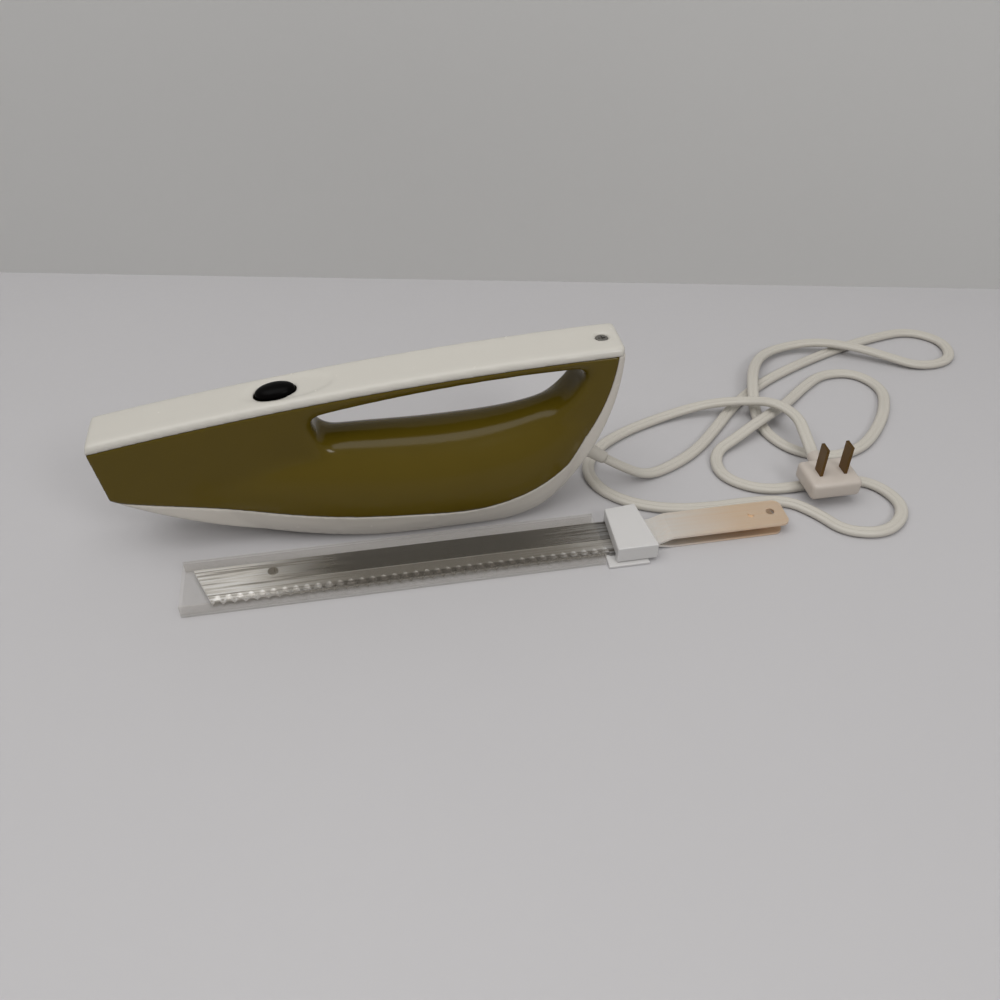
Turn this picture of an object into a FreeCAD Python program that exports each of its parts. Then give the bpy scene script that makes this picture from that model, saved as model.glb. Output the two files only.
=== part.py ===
import FreeCAD, Part
import math
import os
import re

Vector = FreeCAD.Vector
Rotation = FreeCAD.Rotation

# Electric carving knife with a hole in its handle. Millimetres.
# The knife stands on its foot: X runs from nose to tail, Z is up, and the
# origin is the middle of the foot's width on the surface. The blade pair lies
# in its clear sheath beside the body, and the cord lies in a loose pile.
SIZES = {
    # Casing outline, seen from the side
    "wall": 2.4,
    "frame_width": 25,
    "nose_reach": 130,
    "nose_rake": 4,
    "nose_top": 66,
    "nose_low": 34,
    "crown_x": -12,
    "crown_top": 82.2,
    "tail_reach": 108.5,
    "tail_top": 90,
    "tail_mid_x": 103.5,
    "tail_mid_z": 52,
    "heel_x": 86,
    "heel_z": 17,
    "foot_front": -18,
    "foot_rear": 62,
    "keel_lift": 2,
    "sweep_x": -75,
    "sweep_lift": 9,
    "heel_in": 9,
    "heel_drop": 9.5,
    "cover_depth": 4,
    "cover_edge": 2.6,
    "belly_half": 23,
    "belly_crest": 53,
    "seam_drop": 15.5,
    "seam_front_x": -60,
    "seam_front_lift": 5.5,
    "seam_mid_x": 15,
    "seam_rear_x": 62,
    "seam_rear_lift": 2.5,
    "seam_heel_lift": 13,
    "seam_tail_x": 98,
    "seam_tail_z": 54,
    "seam_gap": 0.25,
    # Finger hole
    "hole_front": -33,
    "hole_rear": 91,
    "bar_front": 12.2,
    "bar_mid": 9.7,
    "bar_rear": 10.1,
    "hole_drop": 8,
    "rim_flare": 2,
    # Switch on the top cover
    "button_x": -47.5,
    "button_long": 18,
    "button_wide": 11,
    "button_rise": 3,
    "button_gap": 0.35,
    "button_flange": 1.2,
    "dish_long": 40,
    "dish_wide": 17,
    "dish_deep": 1,
    "dish_shift": 6,
    "spring_radius": 2.6,
    "spring_wall": 0.8,
    "switch_long": 16,
    "switch_tall": 9,
    "switch_gap": 10,
    # Cover screw
    "screw_x": 100,
    "screw_head": 2.7,
    "screw_shank": 1.6,
    "screw_deep": 14,
    "boss_wall": 2,
    "base_screw_head": 3,
    "base_screw_shank": 1.5,
    "base_screw_long": 6,
    "base_head_deep": 0.9,
    "front_head_z": 1.5,
    "rear_head_z": 0.3,
    "seat_gap": 0.3,
    "fit_gap": 0.1,
    # Motor and worm drive
    "motor_z": 26,
    "stack_radius": 18,
    "stack_x": 4,
    "stack_long": 26,
    "bore_radius": 10.6,
    "air_gap": 0.6,
    "shaft_radius": 2.4,
    "coil_long": 7,
    "commutator_x": 40,
    "commutator_long": 9,
    "commutator_radius": 7,
    "brush_side": 4.6,
    "brush_long": 6,
    "fan_x": -14,
    "fan_radius": 15,
    "fan_long": 7,
    "bearing_radius": 5,
    "bearing_long": 6,
    "front_bearing_x": -34,
    "rear_bearing_x": 52,
    "nose_bearing_x": -83,
    "bearing_fit": 0.15,
    "bracket_thick": 2,
    "bracket_half": 11,
    "bracket_top": 36,
    "front_foot_z": 4.6,
    "rear_foot_z": 3,
    "foot_long": 11,
    "worm_radius": 3.6,
    "worm_long": 18,
    "gear_setback": 21,
    "gear_teeth": 32,
    "gear_module": 0.8,
    "gear_wide": 6,
    "mesh_gap": 0.35,
    "axle_radius": 2,
    "cam_radius": 6,
    "cam_throw": 3,
    "cam_long": 3.2,
    "running_gap": 0.4,
    "driver_thick": 2.4,
    "driver_setback": 24,
    "blade_axis_z": 49,
    "driver_y": 3.4,
    "rail": 3,
    "arm_wide": 11,
    "frame_lead": 1,
    "frame_rear": -40,
    "frame_floor": 1.8,
    "frame_wall": 2.4,
    "side_gap": 0.6,
    "frame_low": 17.5,
    "frame_high": 58,
    "peg_radius": 1.7,
    "peg_long": 1.3,
    "peg_inset": 6,
    # Nose slot
    "slot_tall": 21,
    "slot_wide": 9.6,
    "guide_long": 13,
    # Blades, laid flat beside the body
    "blade_y": -41,
    "blade_wide": 21.5,
    "blade_thick": 1.1,
    "blade_gap": 0.1,
    "blade_low": 1.6,
    "blade_tip": -95,
    "tip_slant": 9,
    "tooth_pitch": 4.9,
    "tooth_deep": 1.1,
    "grind_deep": 0.7,
    "grind_long": 3.6,
    "grind_share": 0.94,
    "guard_x": 99,
    "guard_long": 18,
    "guard_wide": 28.5,
    "guard_top": 10.4,
    "guard_plate": 1.5,
    "guard_shift": 4,
    "tang_wide": 17.5,
    "tang_end": 187,
    "tang_short": 3,
    "tang_corner": 4,
    "joggle_x": 121,
    "joggle_long": 7,
    "tang_rise": 2.6,
    "tang_drop": 1.4,
    "tang_hole": 2.1,
    "tang_hole_x": 180,
    "lug_x": 170,
    "rivet_x": -59,
    "rivet_radius": 1.7,
    "blade_stroke": 6,
    # Clear sheath
    "sheath_front": -99.5,
    "sheath_rear": 94,
    "sheath_wide": 29,
    "sheath_tall": 6.6,
    "sheath_wall": 0.8,
    # Cord, strain relief and plug
    "cord_radius": 2.5,
    "floor_gap": 0.3,
    "relief_x": 106,
    "relief_z": 19,
    "relief_long": 20,
    "relief_radius": 3.9,
    "plug_x": 216,
    "plug_front": -36,
    "plug_back": -15,
    "plug_low": 5.8,
    "plug_tall": 9.5,
    "plug_wide": 26,
    "plug_corner": 4,
    "boot_radius": 4.5,
    "boot_long": 8,
    "prong_gap": 12.7,
    "prong_wide": 6.3,
    "prong_thick": 1.5,
    "prong_long": 16,
    "prong_sunk": 5,
    "prong_inset": 7,
}

doc = FreeCAD.newDocument("carving_knife")
sheet = doc.addObject("Spreadsheet::Sheet", "Sizes")
for row, (alias, number) in enumerate(SIZES.items(), start=1):
    sheet.set("A%d" % row, alias)
    sheet.set("B%d" % row, str(number))
    sheet.setAlias("B%d" % row, alias)
doc.recompute()
nodes = []


# Helpers for sizes, expressions and document objects

def size(alias):
    return float(sheet.get(alias))


def linked(text):
    return re.sub(r"[a-z]\w*", lambda m: "Sizes." + m.group() if m.group() in SIZES else m.group(), text)


def bind(thing, **formulas):
    for name, text in formulas.items():
        thing.setExpression(name.replace("__", "."), linked(str(text)))
    return thing


def place(thing, x, y, z):
    return bind(thing, Placement__Base__x=x, Placement__Base__y=y, Placement__Base__z=z)


def box(name, x, y, z, long, wide, tall):
    thing = doc.addObject("Part::Box", name)
    bind(thing, Length=long, Width=wide, Height=tall)
    return place(thing, x, y, z)


TURNS = {
    "X": Rotation(Vector(0, 1, 0), 90),
    "Y": Rotation(Vector(1, 0, 0), -90),
    "Z": Rotation(),
}


def rod(name, axis, x, y, z, radius, long):
    thing = doc.addObject("Part::Cylinder", name)
    thing.Placement = FreeCAD.Placement(Vector(), TURNS[axis])
    bind(thing, Radius=radius, Height=long)
    return place(thing, x, y, z)


def cone(name, axis, x, y, z, radius, end_radius, long):
    thing = doc.addObject("Part::Cone", name)
    thing.Placement = FreeCAD.Placement(Vector(), TURNS[axis])
    bind(thing, Radius1=radius, Radius2=end_radius, Height=long)
    return place(thing, x, y, z)


def fuse(name, *things):
    thing = doc.addObject("Part::MultiFuse", name)
    thing.Shapes = list(things)
    return thing


def cut(name, base, *tools):
    thing = doc.addObject("Part::Cut", name)
    thing.Base = base
    thing.Tool = tools[0] if len(tools) == 1 else fuse(name + "_tools", *tools)
    return thing


def solid(name, shape):
    thing = doc.addObject("Part::Feature", name)
    thing.Shape = shape
    return thing


def group(name, *things):
    thing = doc.addObject("Part::Compound", name)
    thing.Links = list(things)
    return thing


def node(label, thing):
    thing.Label = label
    nodes.append(thing)
    return thing


# Helpers for outlines in the side view (X, Z) and the plan view (X, Y)

def side(point, y=0.0):
    return Vector(point[0], y, point[1])


def side_arc(first, middle, last):
    return Part.Arc(side(first), side(middle), side(last)).toShape()


def side_line(first, last):
    return Part.makeLine(side(first), side(last))


def side_prism(wire, half):
    face = Part.Face(wire)
    face.translate(Vector(0, -half, 0))
    return face.extrude(Vector(0, 2 * half, 0))


def lines(*points):
    ring = [Vector(*point) for point in points]
    return [Part.LineSegment(first, last) for first, last in zip(ring, ring[1:] + ring[:1])]


def rounded_lines(low_x, high_x, low_y, high_y, radius):
    skew = radius * (1 - math.sqrt(0.5))
    stops = []
    corners = ((low_x, low_y, 1, 1), (high_x, low_y, -1, 1), (high_x, high_y, -1, -1), (low_x, high_y, 1, -1))
    for x, y, way_x, way_y in corners:
        along = Vector(x + way_x * radius, y)
        up = Vector(x, y + way_y * radius)
        corner = Vector(x + way_x * skew, y + way_y * skew)
        stops.append((up, corner, along) if way_x == way_y else (along, corner, up))
    curves = [Part.Arc(*stop) for stop in stops]
    curves += [Part.LineSegment(stop[2], after[0]) for stop, after in zip(stops, stops[1:] + stops[:1])]
    return curves


# A body with one sketch padded between two heights. The sketch lies in the
# plan view, or in the side view where upright is set.
def padded(name, curves, low, high, upright=False):
    body = doc.addObject("PartDesign::Body", name)
    sketch = body.newObject("Sketcher::SketchObject", name + "_sketch")
    if upright:
        sketch.Placement = FreeCAD.Placement(Vector(0, high, 0), Rotation(Vector(1, 0, 0), 90))
    else:
        sketch.Placement = FreeCAD.Placement(Vector(0, 0, low), Rotation())
    sketch.addGeometry(curves, False)
    pad = body.newObject("PartDesign::Pad", name + "_pad")
    pad.Profile = sketch
    pad.Length = high - low
    return body


# Casing

NOSE_TOP = (-size("nose_reach"), size("nose_top"))
NOSE_LOW = (-size("nose_reach") + size("nose_rake"), size("nose_low"))
CROWN = (size("crown_x"), size("crown_top"))
TAIL_TOP = (size("tail_reach"), size("tail_top"))
HEEL = (size("heel_x"), size("heel_z"))
KEEL = size("keel_lift")
FOOT_REAR = (size("foot_rear"), KEEL)
FOOT_FRONT = (size("foot_front"), KEEL)
BEYOND = 60.0
CROWN_STEPS = 20

# Stations of the fat lower body along X: its underside, the share of the
# half width that the foot and the bulge have, the widest height and the crest
# over the crest height of the finger hole.
BELLY = (
    (-95, 21.0, 0.17, 0.39, 34, -9.0),
    (-80, 12.0, 0.30, 0.53, 30, -5.0),
    (-50, 4.6, 0.48, 0.76, 24, 0.0),
    (-18, 0.2, 0.59, 0.935, 20, 1.0),
    (15, -0.5, 0.61, 1.0, 18, 0.0),
    (50, -0.5, 0.57, 0.957, 19, 1.5),
    (72, 3.5, 0.43, 0.826, 25, 6.0),
    (88, 19.0, 0.30, 0.63, 42, 13.5),
    (97, 36.0, 0.17, 0.435, 56, 19.0),
)
QUARTER = (0, 22.5, 45, 67.5, 90)


def quarter(x, centre_y, centre_z, half, tall, first):
    curve = Part.BSplineCurve()
    turns = [math.radians(first + step) for step in QUARTER]
    points = [Vector(x, centre_y + half * math.cos(a), centre_z + tall * math.sin(a)) for a in turns]
    curve.interpolate(points)
    return curve.toShape()


def belly_section(x, low, foot, half, middle, crest):
    below = middle - low
    above = crest - middle
    return Part.Wire([
        Part.makeLine(Vector(x, -foot, low), Vector(x, foot, low)),
        quarter(x, foot, middle, half - foot, below, -90),
        quarter(x, 0, middle, half, above, 0),
        quarter(x, 0, middle, half, above, 90),
        quarter(x, -foot, middle, half - foot, below, 180),
    ])


def belly(inset):
    full = size("belly_half")
    sections = []
    for x, low, foot, half, middle, crest in BELLY:
        top = size("belly_crest") + crest - inset
        narrow, widest = full * foot - inset / 2, full * half - inset
        sections.append(belly_section(x, low + inset, narrow, widest, middle, top))
    return Part.makeLoft(sections, True, False)


# The crown runs in equal steps of one circle, so its rounded edges mesh evenly
def crown_arcs():
    reach = TAIL_TOP[0] - NOSE_TOP[0]
    stops = [NOSE_TOP[0] + reach * step / CROWN_STEPS for step in range(CROWN_STEPS + 1)]
    arcs = []
    for first, last in zip(stops, stops[1:]):
        middle = crown_point((first + last) / 2)
        arcs.append(Part.Arc(crown_point(first), middle, crown_point(last)).toShape())
    return arcs


def frame_outline():
    return Part.Wire(crown_arcs() + [
        side_arc(TAIL_TOP, (size("tail_mid_x"), size("tail_mid_z")), HEEL),
        side_arc(HEEL, (HEEL[0] - size("heel_in"), HEEL[1] - size("heel_drop")), FOOT_REAR),
        side_line(FOOT_REAR, FOOT_FRONT),
        side_arc(FOOT_FRONT, (size("sweep_x"), KEEL + size("sweep_lift")), NOSE_LOW),
        side_line(NOSE_LOW, NOSE_TOP),
    ])


def frame(inset):
    outline = frame_outline()
    if inset:
        outline = outline.makeOffset2D(-inset, 1)
    return side_prism(outline, size("frame_width") / 2 - inset)


# The crown is the arc of the top from nose to tail. Depths below it are
# measured straight down, and what stands on it is turned to its normal.
crown = Part.Circle(side(NOSE_TOP), side(CROWN), side(TAIL_TOP))
CROWN_WAY = 1 if crown.Center.z < CROWN[1] else -1


def crown_point(x):
    rise = math.sqrt(crown.Radius ** 2 - (x - crown.Center.x) ** 2)
    return Vector(x, 0, crown.Center.z + CROWN_WAY * rise)


def crown_frame(x):
    out = (crown_point(x) - crown.Center) * CROWN_WAY
    return FreeCAD.Placement(crown_point(x), Rotation(Vector(0, 0, 1), out))


def under_crown(x, depth):
    return (x, crown_point(x).z - size(depth))


# The hole under the handle bar: its top follows the crown, its floor is hidden
# in the fat lower body, and small arcs round its two ends.
def hole_outline():
    front, rear = size("hole_front"), size("hole_rear")
    middle = (front + rear) / 2
    floor = size("belly_crest") - size("hole_drop")
    top_front = under_crown(front + 2, "bar_front")
    top_rear = under_crown(rear - 3, "bar_rear")
    rear_tip = (rear, top_rear[1] - 4.2)
    low_rear = (rear - 41, floor + 2)
    low_front = (front + 9, floor + 5)
    front_tip = (front, top_front[1] - 6)
    front_bend = (front + 2, (low_front[1] + front_tip[1]) / 2 - 1)
    return Part.Wire([
        side_arc(top_front, under_crown(middle, "bar_mid"), top_rear),
        side_arc(top_rear, (rear - 0.2, top_rear[1] - 1.6), rear_tip),
        side_arc(rear_tip, (rear - 15, floor + 11), low_rear),
        side_arc(low_rear, (middle - 29, floor), low_front),
        side_arc(low_front, front_bend, front_tip),
        side_arc(front_tip, (front, top_front[1] - 2), top_front),
    ])


def finger_hole(grow):
    outline = hole_outline()
    if grow:
        outline = outline.makeOffset2D(grow, 0)
    return side_prism(outline, BEYOND)


# The hole widens towards each side of the frame, so no sharp rim meets the fingers.
def hole_flare(way):
    flare = size("rim_flare")
    half = size("frame_width") / 2
    low = hole_outline()
    low.translate(Vector(0, way * (half - flare), 0))
    high = hole_outline().makeOffset2D(flare, 2)
    high.translate(Vector(0, way * half, 0))
    beyond = high.copy()
    beyond.translate(Vector(0, way, 0))
    return Part.makeLoft([low, high, beyond], True, True)


def long_edges(shape, pick):
    flat = [edge for edge in shape.Edges if edge.BoundBox.YLength < 1e-6]
    return [edge for edge in flat if pick(edge.BoundBox)]


def cover_zone():
    drop = size("cover_depth")
    first = (NOSE_TOP[0] - 5, NOSE_TOP[1] - drop - 1)
    last = (TAIL_TOP[0] + 5, TAIL_TOP[1] - drop)
    high = TAIL_TOP[1] + 20
    return side_prism(Part.Wire([
        side_arc(first, (CROWN[0], CROWN[1] - drop), last),
        side_line(last, (last[0], high)),
        side_line((last[0], high), (first[0], high)),
        side_line((first[0], high), first),
    ]), BEYOND)


def belly_zone():
    seam = size("seam_drop")
    first = (NOSE_LOW[0] - 1.5, NOSE_LOW[1] + 0.6)
    middle = (size("seam_mid_x"), seam)
    turn = (HEEL[0] - 2, HEEL[1] + size("seam_heel_lift"))
    last = (TAIL_TOP[0] - 3, TAIL_TOP[1] + 2)
    corner = (TAIL_TOP[0] + 20, -30)
    return side_prism(Part.Wire([
        side_arc(first, (size("seam_front_x"), seam + size("seam_front_lift")), middle),
        side_arc(middle, (size("seam_rear_x"), seam + size("seam_rear_lift")), turn),
        side_arc(turn, (size("seam_tail_x"), size("seam_tail_z")), last),
        side_line(last, (corner[0], last[1])),
        side_line((corner[0], last[1]), corner),
        side_line(corner, (first[0] - 12, corner[1])),
        side_line((first[0] - 12, corner[1]), (first[0] - 12, first[1])),
        side_line((first[0] - 12, first[1]), first),
    ]), BEYOND)


def casing():
    outer = frame(0)
    step = (TAIL_TOP[0] - NOSE_TOP[0]) / CROWN_STEPS
    rounded = long_edges(outer, lambda b: abs(b.XLength - step) < 1e-4 and b.ZMin > NOSE_TOP[1] - 1)
    rounded += long_edges(outer, lambda b: b.XMax > HEEL[0] + 10 and b.ZLength > HEEL[1] + 10)
    outer = outer.makeFillet(size("cover_edge"), rounded)
    wall = size("wall")
    holed = outer.cut(finger_hole(0)).cut(hole_flare(1)).cut(hole_flare(-1))
    hull = holed.fuse(belly(0))
    cavity = frame(wall).cut(finger_hole(wall)).fuse(belly(wall))
    under = Part.makeBox(8 * BEYOND, 2 * BEYOND, BEYOND, Vector(-4 * BEYOND, -BEYOND, -BEYOND))
    return hull.cut(cavity).cut(under)


shell = casing()
above = cover_zone()
below = belly_zone()
seam = Vector(0, 0, size("seam_gap"))
side_blank = solid("side_blank", shell.cut(above.translated(-seam)).cut(below.translated(seam)))
cover_blank = solid("cover_blank", shell.common(above))
belly_blank = solid("belly_blank", shell.common(below).cut(above))


def oval(long, wide, low, high):
    ring = Part.Ellipse(Vector(0, 0, low), long / 2, wide / 2).toShape()
    return Part.Face(Part.Wire(ring)).extrude(Vector(0, 0, high - low))


def on_crown(name, shape, x):
    shape.Placement = crown_frame(x)
    return solid(name, shape)


# Top cover, its oval switch dish and the sunk screw at its tail

LONG, WIDE, GAP = size("button_long"), size("button_wide"), size("button_gap")
UNDER = -size("wall")
dish_shape = oval(size("dish_long"), size("dish_wide"), -size("dish_deep"), 5)
dish = on_crown("dish", dish_shape, size("button_x") + size("dish_shift"))
button_way = on_crown("button_way", oval(LONG + 2 * GAP, WIDE + 2 * GAP, -9, 9), size("button_x"))
screw_top = crown_point(size("screw_x"))
SINK = 1.0


def stepped_screw(name, top, head, shank, deep, head_deep):
    cap = Part.makeCylinder(head, head_deep, Vector(0, 0, -head_deep))
    long, slim, low = 0.6 * head, 0.15 * head, -0.5 * head_deep
    cross = Part.makeBox(2 * long, 2 * slim, head_deep, Vector(-long, -slim, low))
    cross = cross.fuse(Part.makeBox(2 * slim, 2 * long, head_deep, Vector(-slim, -long, low)))
    stem = Part.makeCylinder(shank, deep - head_deep, Vector(0, 0, -deep))
    shape = cap.cut(cross).fuse(stem)
    shape.Placement = top
    return solid(name, shape)


screw_place = FreeCAD.Placement(screw_top - Vector(0, 0, SINK), Rotation())
HEAD, SHANK = size("screw_head"), size("screw_shank")
sink_start = screw_top - Vector(0, 0, SINK + 1.4)
way_start = screw_top - Vector(0, 0, 50)
screw_sink = solid("screw_sink", Part.makeCylinder(HEAD + size("fit_gap"), 9, sink_start))
screw_way = solid("screw_way", Part.makeCylinder(SHANK + size("fit_gap"), 60, way_start))
node("top_cover", cut("top_cover_cut", cover_blank, dish, button_way, screw_sink, screw_way))
node("cover_screw", stepped_screw("cover_screw_solid", screw_place, HEAD, SHANK, size("screw_deep"), 1.3))

# Green side shell: the ring round the finger hole, with the tail boss and the nose slot

boss_high = screw_top.z - size("cover_depth") - size("fit_gap")
boss_low = screw_top.z - size("screw_deep") - 3
boss_radius = size("screw_shank") + size("boss_wall")
boss = Part.makeCylinder(boss_radius, boss_high - boss_low, Vector(size("screw_x"), 0, boss_low))
web_front = size("hole_rear") + size("wall") / 2
web = Part.makeBox(size("screw_x") - web_front, size("boss_wall"), boss_high - boss_low - 4,
                   Vector(web_front, -size("boss_wall") / 2, boss_low))
tail_boss = solid("tail_boss", boss.fuse(web).cut(below).cut(above))
ringed = fuse("side_with_boss", side_blank, tail_boss)
nose_slot = box("nose_slot", "-nose_reach - 5", "-slot_wide / 2", "blade_axis_z - slot_tall / 2",
                "guide_long + 12", "slot_wide", "slot_tall")
node("side_shell", cut("side_shell_cut", ringed, screw_way, nose_slot))
SLOT_LOW = "blade_axis_z - slot_tall / 2"
guide_block = box("guide_block", "-nose_reach + nose_rake + wall + seat_gap",
                  "-frame_width / 2 + wall + seat_gap", SLOT_LOW + " - 1.4", "guide_long",
                  "frame_width - 2 * wall - 2 * seat_gap", "slot_tall + 2.4")
guide_way = box("guide_way", "-nose_reach", "-slot_wide / 2 + seat_gap", SLOT_LOW + " + seat_gap",
                "guide_long + 20", "slot_wide - 2 * seat_gap", "slot_tall - 2 * seat_gap")
node("nose_guide", cut("nose_guide_cut", guide_block, guide_way))

# White bottom cover with sunk screws up into the motor brackets, and the strain relief

FRONT_SCREW = (size("front_bearing_x") + size("foot_long") - 3, size("front_head_z"))
REAR_SCREW = (size("rear_bearing_x") - size("foot_long") + 6, size("rear_head_z"))
HEAD_DEEP = size("base_head_deep")
screw_shapes = []
screw_ways = []
for number, (x, head_z) in enumerate((FRONT_SCREW, REAR_SCREW)):
    turned = FreeCAD.Placement(Vector(x, 0, head_z), Rotation(Vector(1, 0, 0), 180))
    screw_shapes.append(stepped_screw("base_screw_%d" % number, turned, size("base_screw_head"),
                                      size("base_screw_shank"), size("base_screw_long"), HEAD_DEEP))
    sink_low = head_z + HEAD_DEEP + size("fit_gap") - BEYOND
    sink = Part.makeCylinder(size("base_screw_head") + size("fit_gap"), BEYOND, Vector(x, 0, sink_low))
    stem = Part.makeCylinder(size("base_screw_shank") + size("fit_gap"), 20, Vector(x, 0, -5))
    screw_ways.append(solid("base_screw_way_%d" % number, sink.fuse(stem)))
node("base_screws", group("base_screw_pair", *screw_shapes))

RELIEF_END = Vector(size("relief_x"), 0, size("relief_z"))
RELIEF_WAY = Vector(0.8, 0, -0.6)
RELIEF_START = RELIEF_END - RELIEF_WAY * size("relief_long")
RELIEF = size("relief_radius")
relief_cone = Part.makeCone(RELIEF, size("cord_radius") + 0.6, size("relief_long"), RELIEF_START, RELIEF_WAY)
flange_start = RELIEF_START + RELIEF_WAY * 0.2
relief_flange = Part.makeCylinder(RELIEF + 1.2, 1.4, flange_start, RELIEF_WAY)
node("strain_relief", solid("strain_relief_solid", relief_cone.fuse(relief_flange)))
relief_bore = Part.makeCylinder(RELIEF + size("fit_gap"), 40, RELIEF_START + RELIEF_WAY * 1.8, RELIEF_WAY)
relief_way = solid("relief_way", relief_bore)
node("bottom_cover", cut("bottom_cover_cut", belly_blank, relief_way, *screw_ways))

# Switch button, its return spring and the switch body under it

button_cap = oval(LONG, WIDE, UNDER - 2.0, size("button_rise"))
top_ring = [edge for edge in button_cap.Edges if edge.BoundBox.ZMin > size("button_rise") - 1e-6]
button_cap = button_cap.makeFillet(1.6, top_ring)
FLANGE_TOP = UNDER - size("seat_gap")
FLANGE_LOW = FLANGE_TOP - size("button_flange")
button_rim = oval(LONG + 2.6, WIDE + 2.6, FLANGE_LOW, FLANGE_TOP)
SWITCH_TOP = -size("switch_gap")
button_low = min(UNDER - 2.0, FLANGE_LOW)
node("switch_button", on_crown("switch_button_solid", button_cap.fuse(button_rim), size("button_x")))
spring = Part.makeCylinder(size("spring_radius"), button_low - SWITCH_TOP, Vector(0, 0, SWITCH_TOP))
spring_bore = Part.makeCylinder(size("spring_radius") - size("spring_wall"), 30, Vector(0, 0, SWITCH_TOP - 5))
node("switch_spring", on_crown("switch_spring_solid", spring.cut(spring_bore), size("button_x")))
inner_width = size("frame_width") - 2 * size("wall") - 2 * size("fit_gap")
switch_start = Vector(-size("switch_long") / 2, -inner_width / 2, SWITCH_TOP - size("switch_tall"))
switch_block = Part.makeBox(size("switch_long"), inner_width, size("switch_tall"), switch_start)
node("switch_body", on_crown("switch_body_solid", switch_block, size("button_x")))

# Motor: field stack and coils, armature, bearings and brackets

WINDOW_RADIUS = 2.8
WINDOW_PITCH = (size("stack_radius") + size("bore_radius")) / 2 - 0.5
WINDOW_ANGLES = (35, 145, 215, 325)


def around(angle, radius):
    turn = math.radians(angle)
    return Vector(0, radius * math.cos(turn), size("motor_z") + radius * math.sin(turn))


windows = []
for number, angle in enumerate(WINDOW_ANGLES):
    spot = around(angle, WINDOW_PITCH)
    windows.append(rod("window_%d" % number, "X", "stack_x - 5", spot.y, spot.z, WINDOW_RADIUS,
                       "stack_long + 10"))
stack = rod("stack", "X", "stack_x", 0, "motor_z", "stack_radius", "stack_long")
stack_bore = rod("stack_bore", "X", "stack_x - 5", 0, "motor_z", "bore_radius", "stack_long + 10")
node("field_stack", cut("field_stack_cut", stack, stack_bore, *windows))

COIL = WINDOW_RADIUS - size("fit_gap")
END_HALF = COIL - 0.4
END_THICK = size("coil_long") - 1.5
ALONG = Vector(1, 0, 0)


def end_turn(x, first, last):
    corners = [around(first, WINDOW_PITCH - END_HALF), around(first, WINDOW_PITCH + END_HALF),
               around(last, WINDOW_PITCH + END_HALF), around(last, WINDOW_PITCH - END_HALF)]
    middle = (first + last) / 2
    edges = [Part.makeLine(corners[0], corners[1]),
             Part.Arc(corners[1], around(middle, WINDOW_PITCH + END_HALF), corners[2]).toShape(),
             Part.makeLine(corners[2], corners[3]),
             Part.Arc(corners[3], around(middle, WINDOW_PITCH - END_HALF), corners[0]).toShape()]
    face = Part.Face(Part.Wire(edges))
    face.translate(ALONG * x)
    return face.extrude(ALONG * END_THICK)


def field_coil(first, last):
    start = size("stack_x") - END_THICK - size("seat_gap")
    end = size("stack_x") + size("stack_long") + size("seat_gap")
    bar_long = end - start + END_THICK - 2
    parts = [Part.makeCylinder(COIL, bar_long, around(angle, WINDOW_PITCH) + ALONG * (start + 1), ALONG)
             for angle in (first, last)]
    parts += [end_turn(start, first, last), end_turn(end, first, last)]
    return parts[0].multiFuse(parts[1:])


upper_coil = solid("upper_coil", field_coil(WINDOW_ANGLES[0], WINDOW_ANGLES[1]))
lower_coil = solid("lower_coil", field_coil(WINDOW_ANGLES[2], WINDOW_ANGLES[3]))
node("field_coils", group("field_coil_pair", upper_coil, lower_coil))

GEAR_SPOT = "(nose_bearing_x + gear_setback)"
shaft_bar = rod("shaft_bar", "X", "nose_bearing_x - 3", 0, "motor_z", "shaft_radius",
                "rear_bearing_x + bearing_long + 5 - nose_bearing_x")
worm_bar = rod("worm_bar", "X", GEAR_SPOT + " - worm_long / 2", 0, "motor_z", "worm_radius - gear_module",
               "worm_long")
threads = []
THREADS = int(size("worm_long") / (size("gear_module") * math.pi)) - 1
for number in range(THREADS):
    steps = number - (THREADS - 1) / 2
    offset = "%s + %g * gear_module * pi - gear_module / 2" % (GEAR_SPOT, steps)
    threads.append(rod("thread_%d" % number, "X", offset, 0, "motor_z", "worm_radius", "gear_module"))
node("armature_shaft", fuse("armature_shaft_fused", shaft_bar, worm_bar, *threads))


def on_shaft(name, x, radius, long, *more):
    blank = rod(name + "_blank", "X", x, 0, "motor_z", radius, long)
    bore = rod(name + "_bore", "X", x + " - 5", 0, "motor_z", "shaft_radius + fit_gap", long + " + 10")
    return cut(name + "_cut", blank, bore, *more)


ARMATURE_SLOTS = 12
slots = []
for number in range(ARMATURE_SLOTS):
    spot = around(360 / ARMATURE_SLOTS * number, size("bore_radius") - size("air_gap"))
    slots.append(rod("slot_%d" % number, "X", "stack_x - 5", spot.y, spot.z, 1.1, "stack_long + 10"))
node("armature_core", on_shaft("armature_core", "stack_x", "bore_radius - air_gap", "stack_long", *slots))
front_winding = on_shaft("front_winding", "stack_x - coil_long", "bore_radius - 2.4", "coil_long")
rear_winding = on_shaft("rear_winding", "stack_x + stack_long", "bore_radius - 2.4", "coil_long")
node("armature_windings", group("armature_winding_pair", front_winding, rear_winding))
bars = []
COMMUTATOR_BARS = 12
for number in range(COMMUTATOR_BARS):
    spot = around(360 / COMMUTATOR_BARS * number, size("commutator_radius"))
    bars.append(rod("bar_%d" % number, "X", "commutator_x - 5", spot.y, spot.z, 0.3, "commutator_long + 10"))
node("commutator", on_shaft("commutator", "commutator_x", "commutator_radius", "commutator_long", *bars))

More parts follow.
